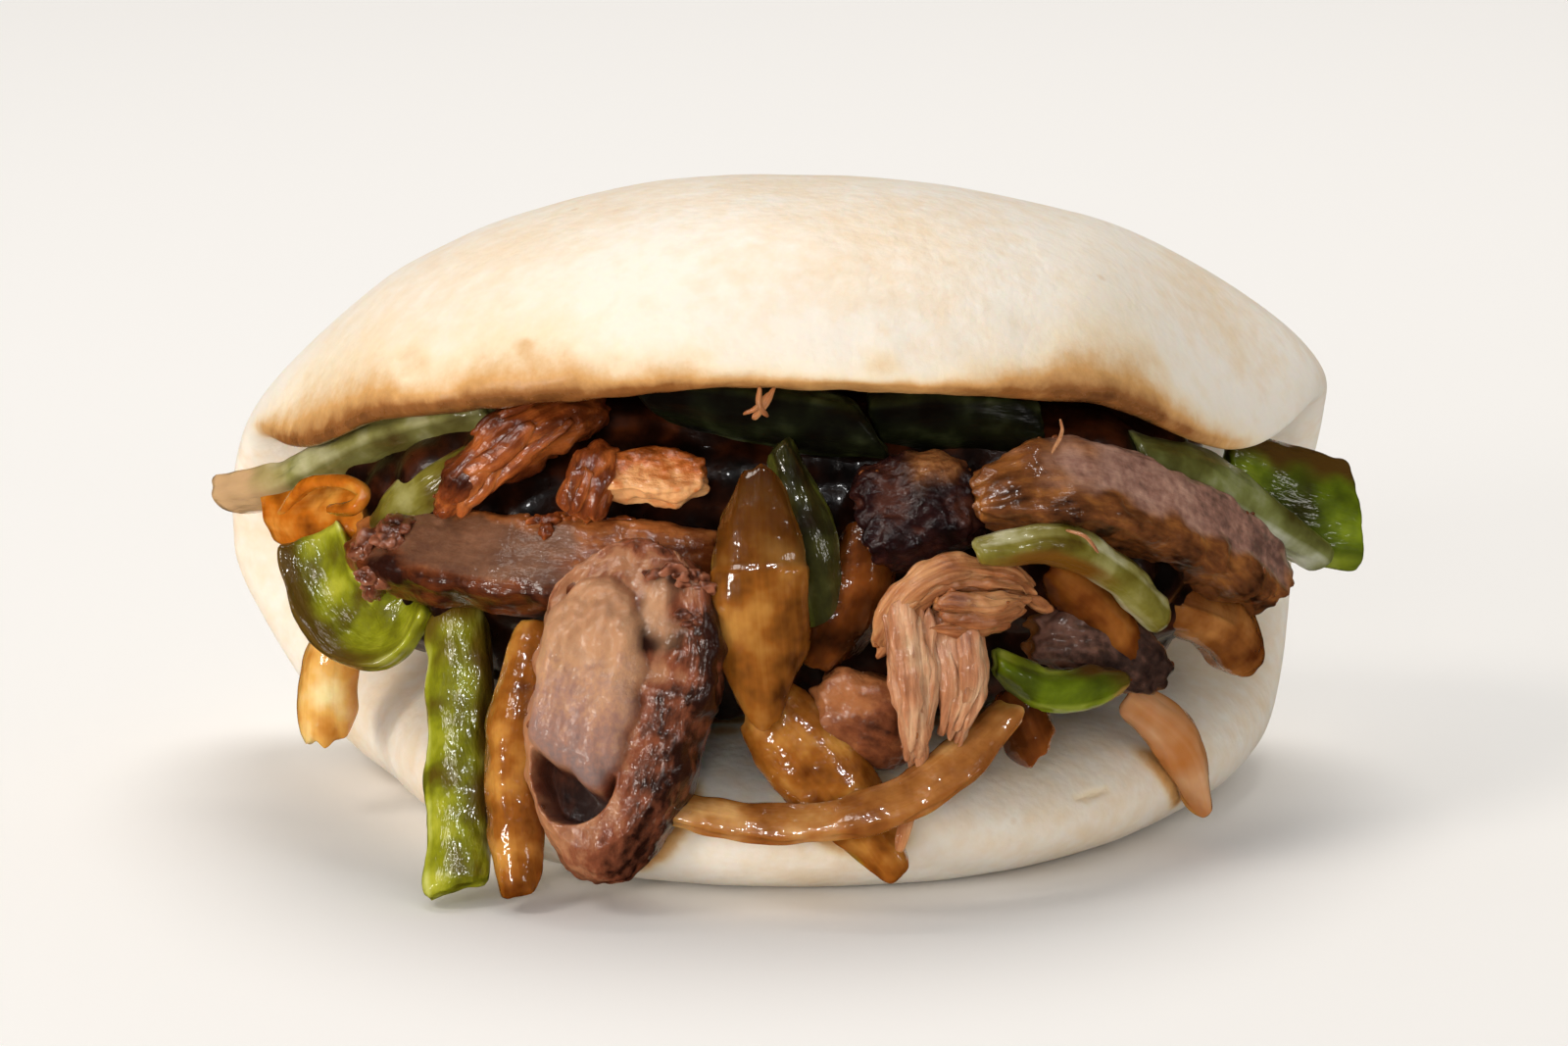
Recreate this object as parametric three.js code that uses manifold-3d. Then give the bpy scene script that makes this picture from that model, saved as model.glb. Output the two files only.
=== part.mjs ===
// A folded steamed bun filled with braised meat, green pepper and fried onion.
// Millimetres. +X runs along the mouth, +Y from the mouth back to the fold, +Z up.
// The origin is the middle of the flat underside, on the table.
import * as THREE from "three";
import { mergeVertices } from "three/addons/utils/BufferGeometryUtils.js";
import Module from "manifold-3d";

const wasm = await Module();
wasm.setup();

// Driving dimensions of the dough
const bunHalfWidth = { left: 59.5, right: 61 };
const doughThickness = 16.5;
const outlineSquareness = { flap: 2.2, lid: 2.35 }; // 2 is an ellipse
const outlineChange = [-0.6, 0.6]; // where the flap's outline turns into the lid's, from -1 to 1
const rimSquareness = { flap: 8, lid: 5 }; // higher keeps the dough thick closer to its rim
const flapNarrowing = { left: 0.2, right: 0.1 }; // shares by which the lower flap is narrower than the fold
const lidDroop = { left: 19, right: 13 }; // how far the lid's ends hang below its middle
const lipDroop = { left: 9, right: 10 }; // how much further its lip hangs towards the ends
const cornerDroop = { left: 12, right: 14 }; // how much further again the lid's two corners hang
const leftEndThinning = 0.1; // the lid has this much less dough at its left end
const thinningReach = [0.4, 1]; // from 0 at the middle of the mouth to 1 at its end
const rimCrowding = 0.8; // below 1 draws the vertices of the cake towards its rim
const rimHold = 8; // how closely an allowance round the dough keeps to its rim
const tableSize = { side: 400, depth: 100 }; // what cuts the underside flat
const doughDetail = 11;

// Stretches of the fold line over which a form sets in, from -1 at the lower lip to 1 at the lid's lip
const flapWidens = { left: [-0.55, 0], right: [-0.1, 0.5] };
const lidBegins = [-0.35, 0.45];
const lipBegins = [0.45, 0.95];
const cornerBegins = [0.3, 0.85];
const cornerReach = { left: [0.66, 1], right: [0.5, 1] }; // across the mouth, as thinningReach

// Driving dimensions of the filling
const gap = 0.35; // clearance between neighbours
const bedHalfSize = new THREE.Vector3(48, 29, 24);
const bedCentre = new THREE.Vector3(1, -2, 33);
const bedBoxiness = 0.2; // 0 is an ellipsoid and 1 a box
const bedLump = 0.06; // unevenness of the bed as a share of its radius
const bedLumpRate = 7; // lumps in two pi radii
const bedDetail = 4;
const stripSides = 8;
const stripSteps = 8;
const stripEndGirth = 0.35; // share of the full section that is left at a strip's end

const materials = {
  dough: new THREE.MeshStandardMaterial({ color: 0xf6e9d6, roughness: 0.6, metalness: 0 }),
  bed: new THREE.MeshStandardMaterial({ color: 0x3a1d10, roughness: 0.35, metalness: 0 }),
  meat: new THREE.MeshStandardMaterial({ color: 0x8a5236, roughness: 0.4, metalness: 0 }),
  pepper: new THREE.MeshStandardMaterial({ color: 0x6f8a1c, roughness: 0.3, metalness: 0 }),
  onion: new THREE.MeshStandardMaterial({ color: 0xa8662c, roughness: 0.3, metalness: 0 }),
};

// Cross-section of the folded dough at its middle, from the lower lip round the fold to the lid's lip.
const foldLine = new THREE.Path()
  .moveTo(-41, 6.2)
  .bezierCurveTo(-27, 6.6, -8, 6.2, 7, 7.2)
  .bezierCurveTo(19, 8.4, 25.5, 18, 25, 33)
  .bezierCurveTo(24.6, 46, 17, 54.8, 5, 57.9)
  .bezierCurveTo(-8, 61.4, -25, 60.6, -34, 53);

// What each kind of strip is like: how thick, how far cupped, and how square its ends and section are
const kinds = {
  meat: { thickness: 6.5, cup: 0, endSquareness: 5, sectionSquareness: 0.75 },
  pepper: { thickness: 3.4, cup: 1.1, endSquareness: 9, sectionSquareness: 0.6 },
  onion: { thickness: 2.6, cup: 1.2, endSquareness: 5, sectionSquareness: 0.7 },
};

// A thick slice rolled in its skin and cut on the slant, so that the cut face looks at the front
const roll = {
  name: "meat_roll", kind: "meat", width: 19.5, thickness: 14, faces: [-0.2, -1, 0.3],
  sectionSquareness: 0.95, endSquareness: 3,
  route: [[-12.4, -35, 37], [-15.3, -37.5, 20], [-18, -41.5, 3]],
  cutPoint: new THREE.Vector3(-18, -40, 22),
  cutNormal: new THREE.Vector3(-0.25, -0.9, 0.37).normalize(),
  hollowCentre: new THREE.Vector3(-20, -44, 11),
  hollowHalfSize: new THREE.Vector3(5, 5, 3),
};
const cutterSize = 60; // larger than the rolled slice

// Every strip that shows in the mouth, from the front ones to those behind them.
// route is the line that it follows, and faces is the way that its broad side looks.
const strips = [
  {
    name: "onion_long_curl", kind: "onion", width: 4.6, faces: [0, -1, 0.6],
    route: [[-12.5, -40.5, 11.2], [0, -43, 9.8], [10, -44, 11.6], [17, -42.5, 15], [24, -37, 20.3]],
  },
  {
    name: "onion_front_left", kind: "onion", width: 6, faces: [-0.3, -1, 0.4],
    route: [[-25, -31, 27.5], [-26.8, -37, 16], [-25.6, -43, 2]],
  },
  {
    name: "pepper_front_left", kind: "pepper", width: 6.2, faces: [-0.2, -1, 0.5],
    route: [[-33, -23, 27], [-32.5, -31, 15], [-31.9, -41, 2.2]],
  },
  {
    name: "onion_lower_middle", kind: "onion", width: 9, faces: [0, -1, 0.5],
    route: [[-2, -37, 21], [5.5, -41, 14.2], [13.2, -43, 5]],
  },
  {
    name: "meat_shred_hanging", kind: "meat", width: 9, thickness: 5, faces: [0, -1, 0.2], endSquareness: 2.2,
    route: [[13, -38, 31], [16.5, -41, 23], [14.5, -41.5, 13.3]],
  },
  {
    name: "onion_petal", kind: "onion", width: 10, faces: [0, -1, 0.2], endSquareness: 2.2,
    route: [[-2, -35, 45], [-1.5, -39, 33], [-0.5, -40, 19]],
  },
  {
    name: "pepper_middle_right", kind: "pepper", width: 4.2, faces: [0, -0.7, 0.9],
    route: [[20.5, -37.5, 36], [28.5, -34.5, 36], [34.5, -30, 32], [39.5, -25, 26]],
  },
  {
    name: "pepper_lower_right", kind: "pepper", width: 5, faces: [0, -1, 0.3],
    route: [[22.5, -36, 24.5], [28, -34, 21.3], [35.5, -28, 21]],
  },
  {
    name: "meat_shred_upper", kind: "meat", width: 8, thickness: 5.5, faces: [0, -0.8, 0.6],
    route: [[10, -36, 27], [17.5, -36.5, 33], [27.5, -31.5, 29.5]],
  },
  {
    name: "meat_long_slice", kind: "meat", width: 9.5, thickness: 6.5, faces: [0.3, -0.9, 0.5],
    route: [[-43.5, -14, 31.2], [-28.5, -27, 32.4], [-13, -31.5, 33.4], [-5, -31, 33.4]],
  },
  {
    name: "meat_right_slab", kind: "meat", width: 10, thickness: 7.5, faces: [-0.2, -0.8, 0.6],
    route: [[20, -32, 40.5], [30.5, -27, 40.5], [41.5, -17, 34], [52, -5, 24.5]],
  },
  {
    name: "pepper_dark_middle", kind: "pepper", width: 5.2, faces: [0.4, -1, 0.1],
    route: [[0.5, -31, 46], [4, -34.5, 36], [6, -35, 25]],
  },
  {
    name: "onion_middle_right", kind: "onion", width: 7, faces: [0.3, -1, 0.1],
    route: [[9.5, -32, 38.5], [8.5, -35, 30.5], [4.5, -36, 24]],
  },
  {
    name: "meat_dark_chunk", kind: "meat", width: 11.5, thickness: 9, faces: [-0.2, -0.9, 0.4],
    route: [[8.5, -30.5, 37.5], [20.5, -29, 39.8]],
  },
  {
    name: "meat_small_chunk", kind: "meat", width: 9, thickness: 7, faces: [0, -1, 0.2],
    route: [[4, -35, 20.5], [14, -36, 17]],
  },
  {
    name: "onion_right_hanging", kind: "onion", width: 5.2, faces: [0.4, -1, 0.3],
    route: [[36, -21.5, 17.5], [42, -19.5, 11.5], [44.7, -17, 3.5]],
  },
  {
    name: "onion_lower_right", kind: "onion", width: 5.5, faces: [0, -1, 0.3],
    route: [[24, -34, 21.5], [27, -34, 14]],
  },
  {
    name: "onion_behind_pepper", kind: "onion", width: 6, faces: [0.3, -1, 0.3],
    route: [[28, -29.5, 33], [34, -26.5, 26.5], [36.5, -24.5, 20]],
  },
  {
    name: "meat_lower_right", kind: "meat", width: 7, thickness: 5, faces: [0.2, -1, 0.4],
    route: [[25.5, -28.5, 25], [33, -25, 24], [39.5, -20.5, 19]],
  },
  {
    name: "onion_right_end", kind: "onion", width: 7, thickness: 4.5, faces: [0.5, -1, 0.3],
    route: [[39, -16.5, 27], [45.5, -11, 22.5], [49.5, -6, 17]],
  },
  {
    name: "pepper_right_strip", kind: "pepper", width: 5, faces: [0.3, -0.8, 0.8],
    route: [[36.5, -19, 42.5], [45.5, -12, 38], [57, -2.5, 27.5]],
  },
  {
    name: "pepper_right_square", kind: "pepper", width: 11, faces: [0.5, -1, 0.3],
    route: [[46.5, -2.5, 35.5], [54, 0, 32.5], [60.5, 2.5, 30.5]],
  },
  {
    name: "pepper_left_curl", kind: "pepper", width: 7, faces: [-0.6, -0.8, 0.9],
    route: [[-48, -8.5, 30.5], [-45.5, -13.5, 23.8], [-40.5, -18.5, 22], [-36, -20, 27.5]],
  },
  {
    name: "onion_left_hanging", kind: "onion", width: 7, faces: [-0.6, -1, 0.3],
    route: [[-45, -7.5, 24.5], [-47.5, -9, 17], [-48, -9.5, 8.5]],
  },
  {
    name: "onion_left_top", kind: "onion", width: 9, faces: [-0.5, -1, 0.3],
    route: [[-54, -1.5, 31], [-47, -8, 32.5], [-39.5, -14.5, 35.5]],
  },
  {
    name: "pepper_left_middle", kind: "pepper", width: 5.8, faces: [-0.4, -1, 0.6],
    route: [[-41.5, -16, 33.5], [-35.5, -20, 39], [-29, -21.5, 43.5]],
  },
  {
    name: "meat_upper_left", kind: "meat", width: 7, thickness: 6, faces: [-0.2, -1, 0.5], endSquareness: 2.6,
    route: [[-18, -21.5, 48], [-26, -25.5, 45.5], [-34.5, -25, 37]],
  },
  {
    name: "meat_pale_flake", kind: "meat", width: 5, thickness: 4, faces: [0, -0.8, 0.6],
    route: [[-17.5, -30.5, 42.5], [-7, -31, 42.5]],
  },
  {
    name: "meat_small_shred", kind: "meat", width: 5, thickness: 4, faces: [-0.2, -1, 0.3], endSquareness: 2.6,
    route: [[-17, -29, 45], [-18.5, -31.5, 41.5], [-19.5, -32, 38]],
  },
  {
    name: "pepper_left_lip", kind: "pepper", width: 7, faces: [-0.4, -0.6, -1],
    route: [[-57.8, 5, 30.7], [-50, -2, 33.8], [-39, -12, 41], [-28, -19.5, 45.5]],
  },
  {
    name: "pepper_under_lip", kind: "pepper", width: 6, faces: [0, -1, -0.3],
    route: [[-13, -26.5, 49.5], [-2, -28, 48], [9, -27, 46]],
  },
  {
    name: "pepper_dark_right", kind: "pepper", width: 7, faces: [0, -1, -0.3],
    route: [[10, -25, 46.5], [18, -24.5, 46.5], [27, -22, 45]],
  },
];

function solidOf(geometry) {
  geometry.deleteAttribute("normal");
  geometry.deleteAttribute("uv");
  const merged = mergeVertices(geometry, 1e-4);
  return new wasm.Manifold(
    new wasm.Mesh({
      numProp: 3,
      vertProperties: new Float32Array(merged.attributes.position.array),
      triVerts: new Uint32Array(merged.index.array),
    }),
  );
}

function meshOf(solid, name, material) {
  const { vertProperties, triVerts } = solid.getMesh();
  const geometry = new THREE.BufferGeometry();
  geometry.setAttribute("position", new THREE.BufferAttribute(vertProperties, 3));
  geometry.setIndex(new THREE.BufferAttribute(triVerts, 1));
  geometry.computeVertexNormals();
  const mesh = new THREE.Mesh(geometry, material);
  mesh.name = name;
  return mesh;
}

// Moves every vertex of a geometry to where place puts it.
function reshape(geometry, place) {
  const { position } = geometry.attributes;
  const point = new THREE.Vector3();
  for (let i = 0; i < position.count; i++) {
    point.fromBufferAttribute(position, i);
    position.setXYZ(i, ...place(point).toArray());
  }
  return geometry;
}

function largestBody(solid) {
  return solid.decompose().reduce((a, b) => (b.volume() > a.volume() ? b : a));
}

// The point of the folded dough that a point of the unit ball becomes: the ball is first a round flat cake
// with a soft rim, and the cake is then bent along the fold line, its upper side inwards.
function doughPoint(ball, grow) {
  const { lerp, clamp, smoothstep } = THREE.MathUtils;
  const reach = Math.sin(Math.acos(clamp(ball.z, -1, 1))) ** rimCrowding;
  const turn = Math.atan2(ball.y, ball.x);
  const lidSide = smoothstep(Math.sin(turn), ...outlineChange);
  const square = lerp(outlineSquareness.flap, outlineSquareness.lid, lidSide);
  const outline = (Math.abs(Math.cos(turn)) ** square + Math.abs(Math.sin(turn)) ** square) ** (1 / square);
  const across = (reach * Math.cos(turn)) / outline;
  const along = (reach * Math.sin(turn)) / outline;
  const end = across < 0 ? "left" : "right";

  const place = clamp((along + 1) / 2, 0, 1);
  const onLine = foldLine.getPoint(place);
  const way = foldLine.getTangent(place);
  const flap = 1 - smoothstep(along, ...flapWidens[end]);
  const lid = smoothstep(along, ...lidBegins);
  const lip = smoothstep(along, ...lipBegins);
  const thinning = 1 - leftEndThinning * lid * smoothstep(-across, ...thinningReach);
  const rimSquare = lerp(rimSquareness.flap, rimSquareness.lid, lid);
  const rise = Math.sign(ball.z) * Math.sqrt(Math.max(0, 1 - reach ** rimSquare));
  const lift = rise * ((doughThickness / 2) * thinning + grow);
  const rimOut = grow * reach ** rimHold;
  const corner = smoothstep(along, ...cornerBegins) * smoothstep(Math.abs(across), ...cornerReach[end]);
  const droop = (lidDroop[end] * lid + lipDroop[end] * lip) * across ** 2 + cornerDroop[end] * corner;
  const x = (bunHalfWidth[end] * (1 - flapNarrowing[end] * flap) + rimOut) * across;
  const y = onLine.x + way.x * along * rimOut - way.y * lift;
  const z = onLine.y + way.y * along * rimOut + way.x * lift - droop;
  return new THREE.Vector3(x, y, z);
}

function dough(grow) {
  const cake = reshape(new THREE.IcosahedronGeometry(1, doughDetail), (p) => doughPoint(p, grow));
  const { side, depth } = tableSize;
  const table = new THREE.BoxGeometry(side, side, depth).translate(0, 0, -depth / 2 - grow);
  return solidOf(cake).subtract(solidOf(table));
}

// The chopped filling behind the strips, as one lumpy heap.
function bedShape() {
  return reshape(new THREE.IcosahedronGeometry(1, bedDetail), (p) => {
    const lump = Math.sin(bedLumpRate * p.x + 2 * p.z) * Math.cos(bedLumpRate * p.z - 3 * p.y);
    const box = Math.max(Math.abs(p.x), Math.abs(p.y), Math.abs(p.z)) ** bedBoxiness;
    return p.clone().multiplyScalar((1 + bedLump * lump) / box).multiply(bedHalfSize).add(bedCentre);
  });
}

// A bar bent along its route, with a soft-cornered section that narrows at both ends.
function strip(spec, grow) {
  const form = { ...kinds[spec.kind], ...spec };
  const route = new THREE.CatmullRomCurve3(form.route.map((p) => new THREE.Vector3(...p)));
  const faces = new THREE.Vector3(...form.faces);
  const soften = (v) => Math.sign(v) * Math.abs(v) ** form.sectionSquareness;
  return reshape(new THREE.CylinderGeometry(1, 1, 1, stripSides, stripSteps), (p) => {
    const share = (1 - Math.cos(Math.PI * (p.y + 0.5))) / 2;
    const tangent = route.getTangent(share);
    const side = new THREE.Vector3().crossVectors(tangent, faces).normalize();
    const front = new THREE.Vector3().crossVectors(side, tangent);
    const fromMiddle = 2 * share - 1;
    const girth = Math.max(stripEndGirth, Math.sqrt(1 - Math.abs(fromMiddle) ** form.endSquareness));
    const acrossShare = soften(p.x) * girth;
    const acrossBy = acrossShare * (form.width / 2 + grow);
    const frontBy = soften(p.z) * girth * (form.thickness / 2 + grow) - form.cup * acrossShare ** 2;
    return route
      .getPoint(share)
      .addScaledVector(tangent, fromMiddle * grow)
      .addScaledVector(side, acrossBy)
      .addScaledVector(front, frontBy);
  });
}

// The rolled slice: a fat round bar, cut flat on the slant, with a hollow under the loose end of the cut face.
function rolledSlice(grow) {
  const cutter = new THREE.BoxGeometry(cutterSize, cutterSize, cutterSize).translate(0, 0, cutterSize / 2);
  const turn = new THREE.Quaternion().setFromUnitVectors(new THREE.Vector3(0, 0, 1), roll.cutNormal);
  const start = roll.cutPoint.clone().addScaledVector(roll.cutNormal, grow);
  cutter.applyQuaternion(turn).translate(...start.toArray());
  const hollow = new THREE.IcosahedronGeometry(1, 2).scale(...roll.hollowHalfSize.toArray());
  hollow.translate(...roll.hollowCentre.toArray());
  const cut = solidOf(strip(roll, grow)).subtract(solidOf(cutter));
  return grow > 0 ? cut : cut.subtract(solidOf(hollow));
}

const group = new THREE.Group();
group.name = "bao_bun";
group.add(meshOf(dough(0), "bun", materials.dough));

// Each piece keeps clear of the dough and of the pieces in front of it.
// The bed fills what is left behind them.
let taken = dough(gap);
const pieces = [
  { ...roll, solid: rolledSlice(0), room: rolledSlice(gap) },
  ...strips.map((spec) => ({ ...spec, solid: solidOf(strip(spec, 0)), room: solidOf(strip(spec, gap)) })),
];
for (const { name, kind, solid, room } of pieces) {
  group.add(meshOf(largestBody(solid.subtract(taken)), name, materials[kind]));
  taken = taken.add(room);
}
const bed = largestBody(solidOf(bedShape()).subtract(taken));
group.add(meshOf(bed, "filling_bed", materials.bed));

export default group;
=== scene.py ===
import bisect
import math
import random
from functools import partial

import bmesh
import bpy
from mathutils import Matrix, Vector, noise
from mathutils.bvhtree import BVHTree
from mathutils.geometry import interpolate_bezier
from mathutils.kdtree import KDTree


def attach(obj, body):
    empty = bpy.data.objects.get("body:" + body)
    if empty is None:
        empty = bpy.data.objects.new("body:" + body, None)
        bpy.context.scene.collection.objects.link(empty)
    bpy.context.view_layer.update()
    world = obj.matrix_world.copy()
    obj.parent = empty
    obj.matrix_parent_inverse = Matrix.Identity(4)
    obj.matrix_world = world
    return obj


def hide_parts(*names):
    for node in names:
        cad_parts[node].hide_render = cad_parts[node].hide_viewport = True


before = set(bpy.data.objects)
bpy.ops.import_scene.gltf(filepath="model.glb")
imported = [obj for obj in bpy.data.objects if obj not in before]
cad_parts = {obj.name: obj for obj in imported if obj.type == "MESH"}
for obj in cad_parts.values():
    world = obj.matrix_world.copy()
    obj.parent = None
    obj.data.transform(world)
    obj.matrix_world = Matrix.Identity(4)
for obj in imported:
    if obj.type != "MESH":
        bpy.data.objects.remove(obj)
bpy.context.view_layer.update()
scene = bpy.context.scene
mm = 0.001    # sizes below are in millimetres, Blender works in metres


# small helpers

def smooth(value, low, high):
    share = min(max((value - low) / (high - low), 0), 1)
    return share * share * (3 - 2 * share)


def mixed(first, second, share):
    return first + (second - first) * share


def ripple(point, size, shift=0.0):    # soft noise from -1 to 1 with bumps about that size
    return noise.noise(Vector(point) / size + Vector((shift, shift * 1.7, shift * 2.3)))


def ridge(point, size, shift=0.0):    # sharp crests at 1, broad valleys near 0
    return 1 - abs(ripple(point, size, shift)) * 2


def linear(colour):    # sRGB hex to linear
    parts = [int(colour[i:i + 2], 16) / 255 for i in (0, 2, 4)]
    return [*(p / 12.92 if p <= 0.04045 else ((p + 0.055) / 1.055) ** 2.4 for p in parts), 1]


def addNode(tree, kind, values=None, links=None, stops=None, out=0, **settings):    # gives back one output
    node = tree.nodes.new("ShaderNode" + kind)
    for name, value in settings.items():
        setattr(node, name, value)
    for socket, value in (values or {}).items():
        node.inputs[socket].default_value = value
    for socket, source in (links or {}).items():
        tree.links.new(source, node.inputs[socket])
    for place, (position, colour) in enumerate(stops or []):
        if place > 1:
            node.color_ramp.elements.new(position)
        node.color_ramp.elements[place].position = position
        node.color_ramp.elements[place].color = linear(colour)
    return node.outputs[out] if node.outputs else None


def startSkin(name, look, **details):    # a new material with a soft noise for each size that its look names
    material = bpy.data.materials.new(name)
    material.use_nodes = True
    material.node_tree.nodes.clear()
    add = partial(addNode, material.node_tree)
    here = add("TexCoord", out="Object")
    noises = [add("TexNoise", {"Scale": 1000 / look[size], "Detail": detail}, {"Vector": here})
              for size, detail in details.items()]
    return material, add, noises


def readMesh(add, lineMm, lineNoise):    # what a strip's mesh tells its material, and lines along the strip
    grain, section = (add("Attribute", attribute_name=key, out="Vector") for key in ("grain", "section"))
    bare, relief = (add("Attribute", attribute_name=key, out="Fac") for key in ("bare", "relief"))
    parts = add("SeparateXYZ", links={"Vector": section}).node.outputs
    longMm, wideMm = lineMm
    along = add("Mapping", {"Scale": (1 / longMm, 1 / wideMm, 1 / wideMm)}, {"Vector": grain})
    lines = add("TexNoise", {"Scale": 1, **lineNoise}, {"Vector": along})
    return lines, parts, bare, relief


def finishSkin(material, values, links=None):    # one shader that takes what the nodes before it work out
    shader = addNode(material.node_tree, "BsdfPrincipled", values, links)
    addNode(material.node_tree, "OutputMaterial", links={"Surface": shader})
    return material


mixFactor, mixFirst, mixSecond = 0, 6, 7    # the colour sockets of a Mix node
mixColours = {"data_type": "RGBA", "out": 2}    # makes a Mix node mix colours
multiplyAdd = {"operation": "MULTIPLY_ADD"}
wetSkin = {"Specular IOR Level": 0.25, "Coat IOR": 1.5}


# materials

doughFinish = {
    "skin": "f9efe1", "shade": "f1dcbe", "speck": "cfa062",
    "stains": ("f9efe1", "f4dfba", "d7a465", "96602f", "4c2a13"),    # clean, soaked, amber, brown, burnt
    "patchMm": 20, "mottleMm": 2.2, "poreMm": 0.9, "dimpleMm": 3.6, "soakMm": 2.6, "speckMm": 15,
}


def steamedDough(look):
    # steamed wheat dough: satin skin over white crumb, light sinks in and softens every edge, and
    # sauce soaks it brown
    material, add, (patches, mottles, dimples, pores, spread) = startSkin(
        "steamed wheat dough", look, patchMm=4, mottleMm=3, dimpleMm=2, poreMm=3, soakMm=5)
    spread.node.inputs["Roughness"].default_value = 0.65
    here = add("TexCoord", out="Object")
    tone = add("Mix", {0: 0.35}, {2: patches, 3: mottles})
    plain = add("ValToRGB", links={"Fac": tone}, stops=[(0.44, look["skin"]), (0.66, look["shade"])])
    specks = add("TexVoronoi", {"Scale": 1000 / look["speckMm"]}, {"Vector": here})
    speckHere = add("MapRange", {"From Min": 0.02, "From Max": 0.05, "To Min": 0.5, "To Max": 0},
                    {"Value": specks})
    specked = add("Mix", {mixSecond: linear(look["speck"])}, {mixFactor: speckHere, mixFirst: plain},
                  **mixColours)
    sauce = add("Attribute", attribute_name="sauce", out="Fac")
    patchy = add("Math", {1: 0.8, 2: 0.6}, {0: spread}, **multiplyAdd)
    wet = add("Math", links={0: sauce, 1: patchy}, operation="MULTIPLY")
    stain = add("ValToRGB", links={"Fac": wet}, stops=zip((0.02, 0.18, 0.4, 0.66, 1), look["stains"]))
    cover = add("MapRange", {"From Max": 0.3}, {"Value": wet})
    colour = add("Mix", links={mixFactor: cover, mixFirst: specked, mixSecond: stain}, **mixColours)
    gloss = add("MapRange", {"From Min": 0.2, "From Max": 0.8, "To Min": 0.5, "To Max": 0.26}, {"Value": wet})
    wide = add("Bump", {"Strength": 0.4, "Distance": 0.5 * mm}, {"Height": dimples})
    fine = add("Bump", {"Strength": 0.4, "Distance": 0.2 * mm}, {"Height": pores, "Normal": wide})
    return finishSkin(material, {
        "IOR": 1.42, "Subsurface Weight": 0.3, "Subsurface Radius": (1, 0.62, 0.38),
        "Subsurface Scale": 2.2 * mm,
    }, {"Base Color": colour, "Roughness": gloss, "Normal": fine})


def braisedMeat(name, look):
    # slow braised meat: fibres run along it, sauce lies wet all over, a cut face is paler, and the hollows
    # are painted darker and the crests lighter, partly for sauce that pools there and partly as painted shade
    material, add, (patch, crumb) = startSkin("braised meat " + name, look, patchMm=4, crumbMm=3)
    fibre, parts, bare, relief = readMesh(add, look["fibreMm"], {"Detail": 4, "Roughness": 0.6})
    mottled = add("Mix", {0: 0.5}, {2: fibre, 3: patch})
    # painted shade: the relief darkens the hollows and lightens the crests, over the sauce that pools there
    hollows = add("Math", {1: look["hollows"]}, {0: relief, 2: mottled}, **multiplyAdd)
    # darker towards one side of the section: partly sauce run down to the lower side, partly painted shade
    shade = add("Math", {1: -look["under"]}, {0: parts["Y"], 2: hollows}, **multiplyAdd)
    sauced = add("ValToRGB", links={"Fac": shade}, stops=zip((0.3, 0.48, 0.64), look["sauced"]))
    speckled = add("Mix", {0: look["speckle"]}, {2: fibre, 3: crumb})
    grainy = add("Mix", {0: 0.4}, {2: speckled, 3: patch})
    faded = add("Math", {1: look["faceFade"]}, {0: parts["X"], 2: grainy}, **multiplyAdd)
    face = add("ValToRGB", links={"Fac": faded}, stops=zip((0.34, 0.48, 0.64), look["face"]))
    colour = add("Mix", links={mixFactor: bare, mixFirst: sauced, mixSecond: face}, **mixColours)
    rough = add("MapRange", {"To Min": 0.3, "To Max": 0.46}, {"Value": bare})
    wet = add("MapRange", {"To Min": look["film"], "To Max": look["faceFilm"]}, {"Value": bare})
    shown = add("MapRange", {"From Min": -0.9, "From Max": -0.5, "To Min": 0.05}, {"Value": relief})
    film = add("Math", links={0: wet, 1: shown}, operation="MULTIPLY")
    ribs = add("Bump", {"Strength": 0.55, "Distance": 0.4 * mm}, {"Height": fibre})
    grit = add("Bump", {"Strength": 0.45, "Distance": 0.2 * mm}, {"Height": crumb, "Normal": ribs})
    return finishSkin(material, {
        **wetSkin, "IOR": 1.42, "Subsurface Weight": 0.2, "Subsurface Radius": (1, 0.42, 0.25),
        "Subsurface Scale": 1.4 * mm, "Coat Roughness": 0.05,
    }, {"Base Color": colour, "Roughness": rough, "Coat Weight": film, "Normal": grit, "Coat Normal": grit})


def greenPepper(name, look):
    # fried green pepper: waxy skin outside, paler wet flesh on the cut sides and behind, browned
    # where it was seared
    material, add, (patch,) = startSkin("fried green pepper " + name, look, patchMm=4)
    folds, parts, seared, relief = readMesh(add, look["wrinkleMm"], {"Detail": 3})
    # painted shade: raised skin is lighter and the wrinkles and hollow sides darker, over a random patch tone
    tone = add("Math", {1: 0.25}, {0: relief, 2: patch}, **multiplyAdd)
    skin = add("ValToRGB", links={"Fac": tone}, stops=zip((0.32, 0.43, 0.55, 0.68), look["skin"]))
    flesh = add("ValToRGB", links={"Fac": tone}, stops=zip((0.3, 0.48, 0.68), look["flesh"]))
    side = add("Math", links={0: parts["Y"]}, operation="ABSOLUTE")
    edge = add("MapRange", {"From Min": 0.8, "From Max": 0.94}, {"Value": side})
    behind = add("MapRange", {"From Min": 0.25, "From Max": -0.15}, {"Value": parts["Z"]})
    cut = add("Math", links={0: edge, 1: behind}, operation="MAXIMUM")
    green = add("Mix", links={mixFactor: cut, mixFirst: skin, mixSecond: flesh}, **mixColours)
    colour = add("Mix", {mixSecond: linear(look["seared"])}, {mixFactor: seared, mixFirst: green},
                 **mixColours)
    wrinkles = add("Bump", {"Strength": 0.7, "Distance": 0.45 * mm}, {"Height": folds})
    return finishSkin(material, {
        **wetSkin, "Roughness": 0.3, "IOR": 1.42, "Subsurface Weight": 0.08,
        "Subsurface Radius": (0.7, 1, 0.3), "Subsurface Scale": 1.2 * mm,
        "Coat Weight": look["film"], "Coat Roughness": 0.04,
    }, {"Base Color": colour, "Normal": wrinkles, "Coat Normal": wrinkles})


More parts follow.
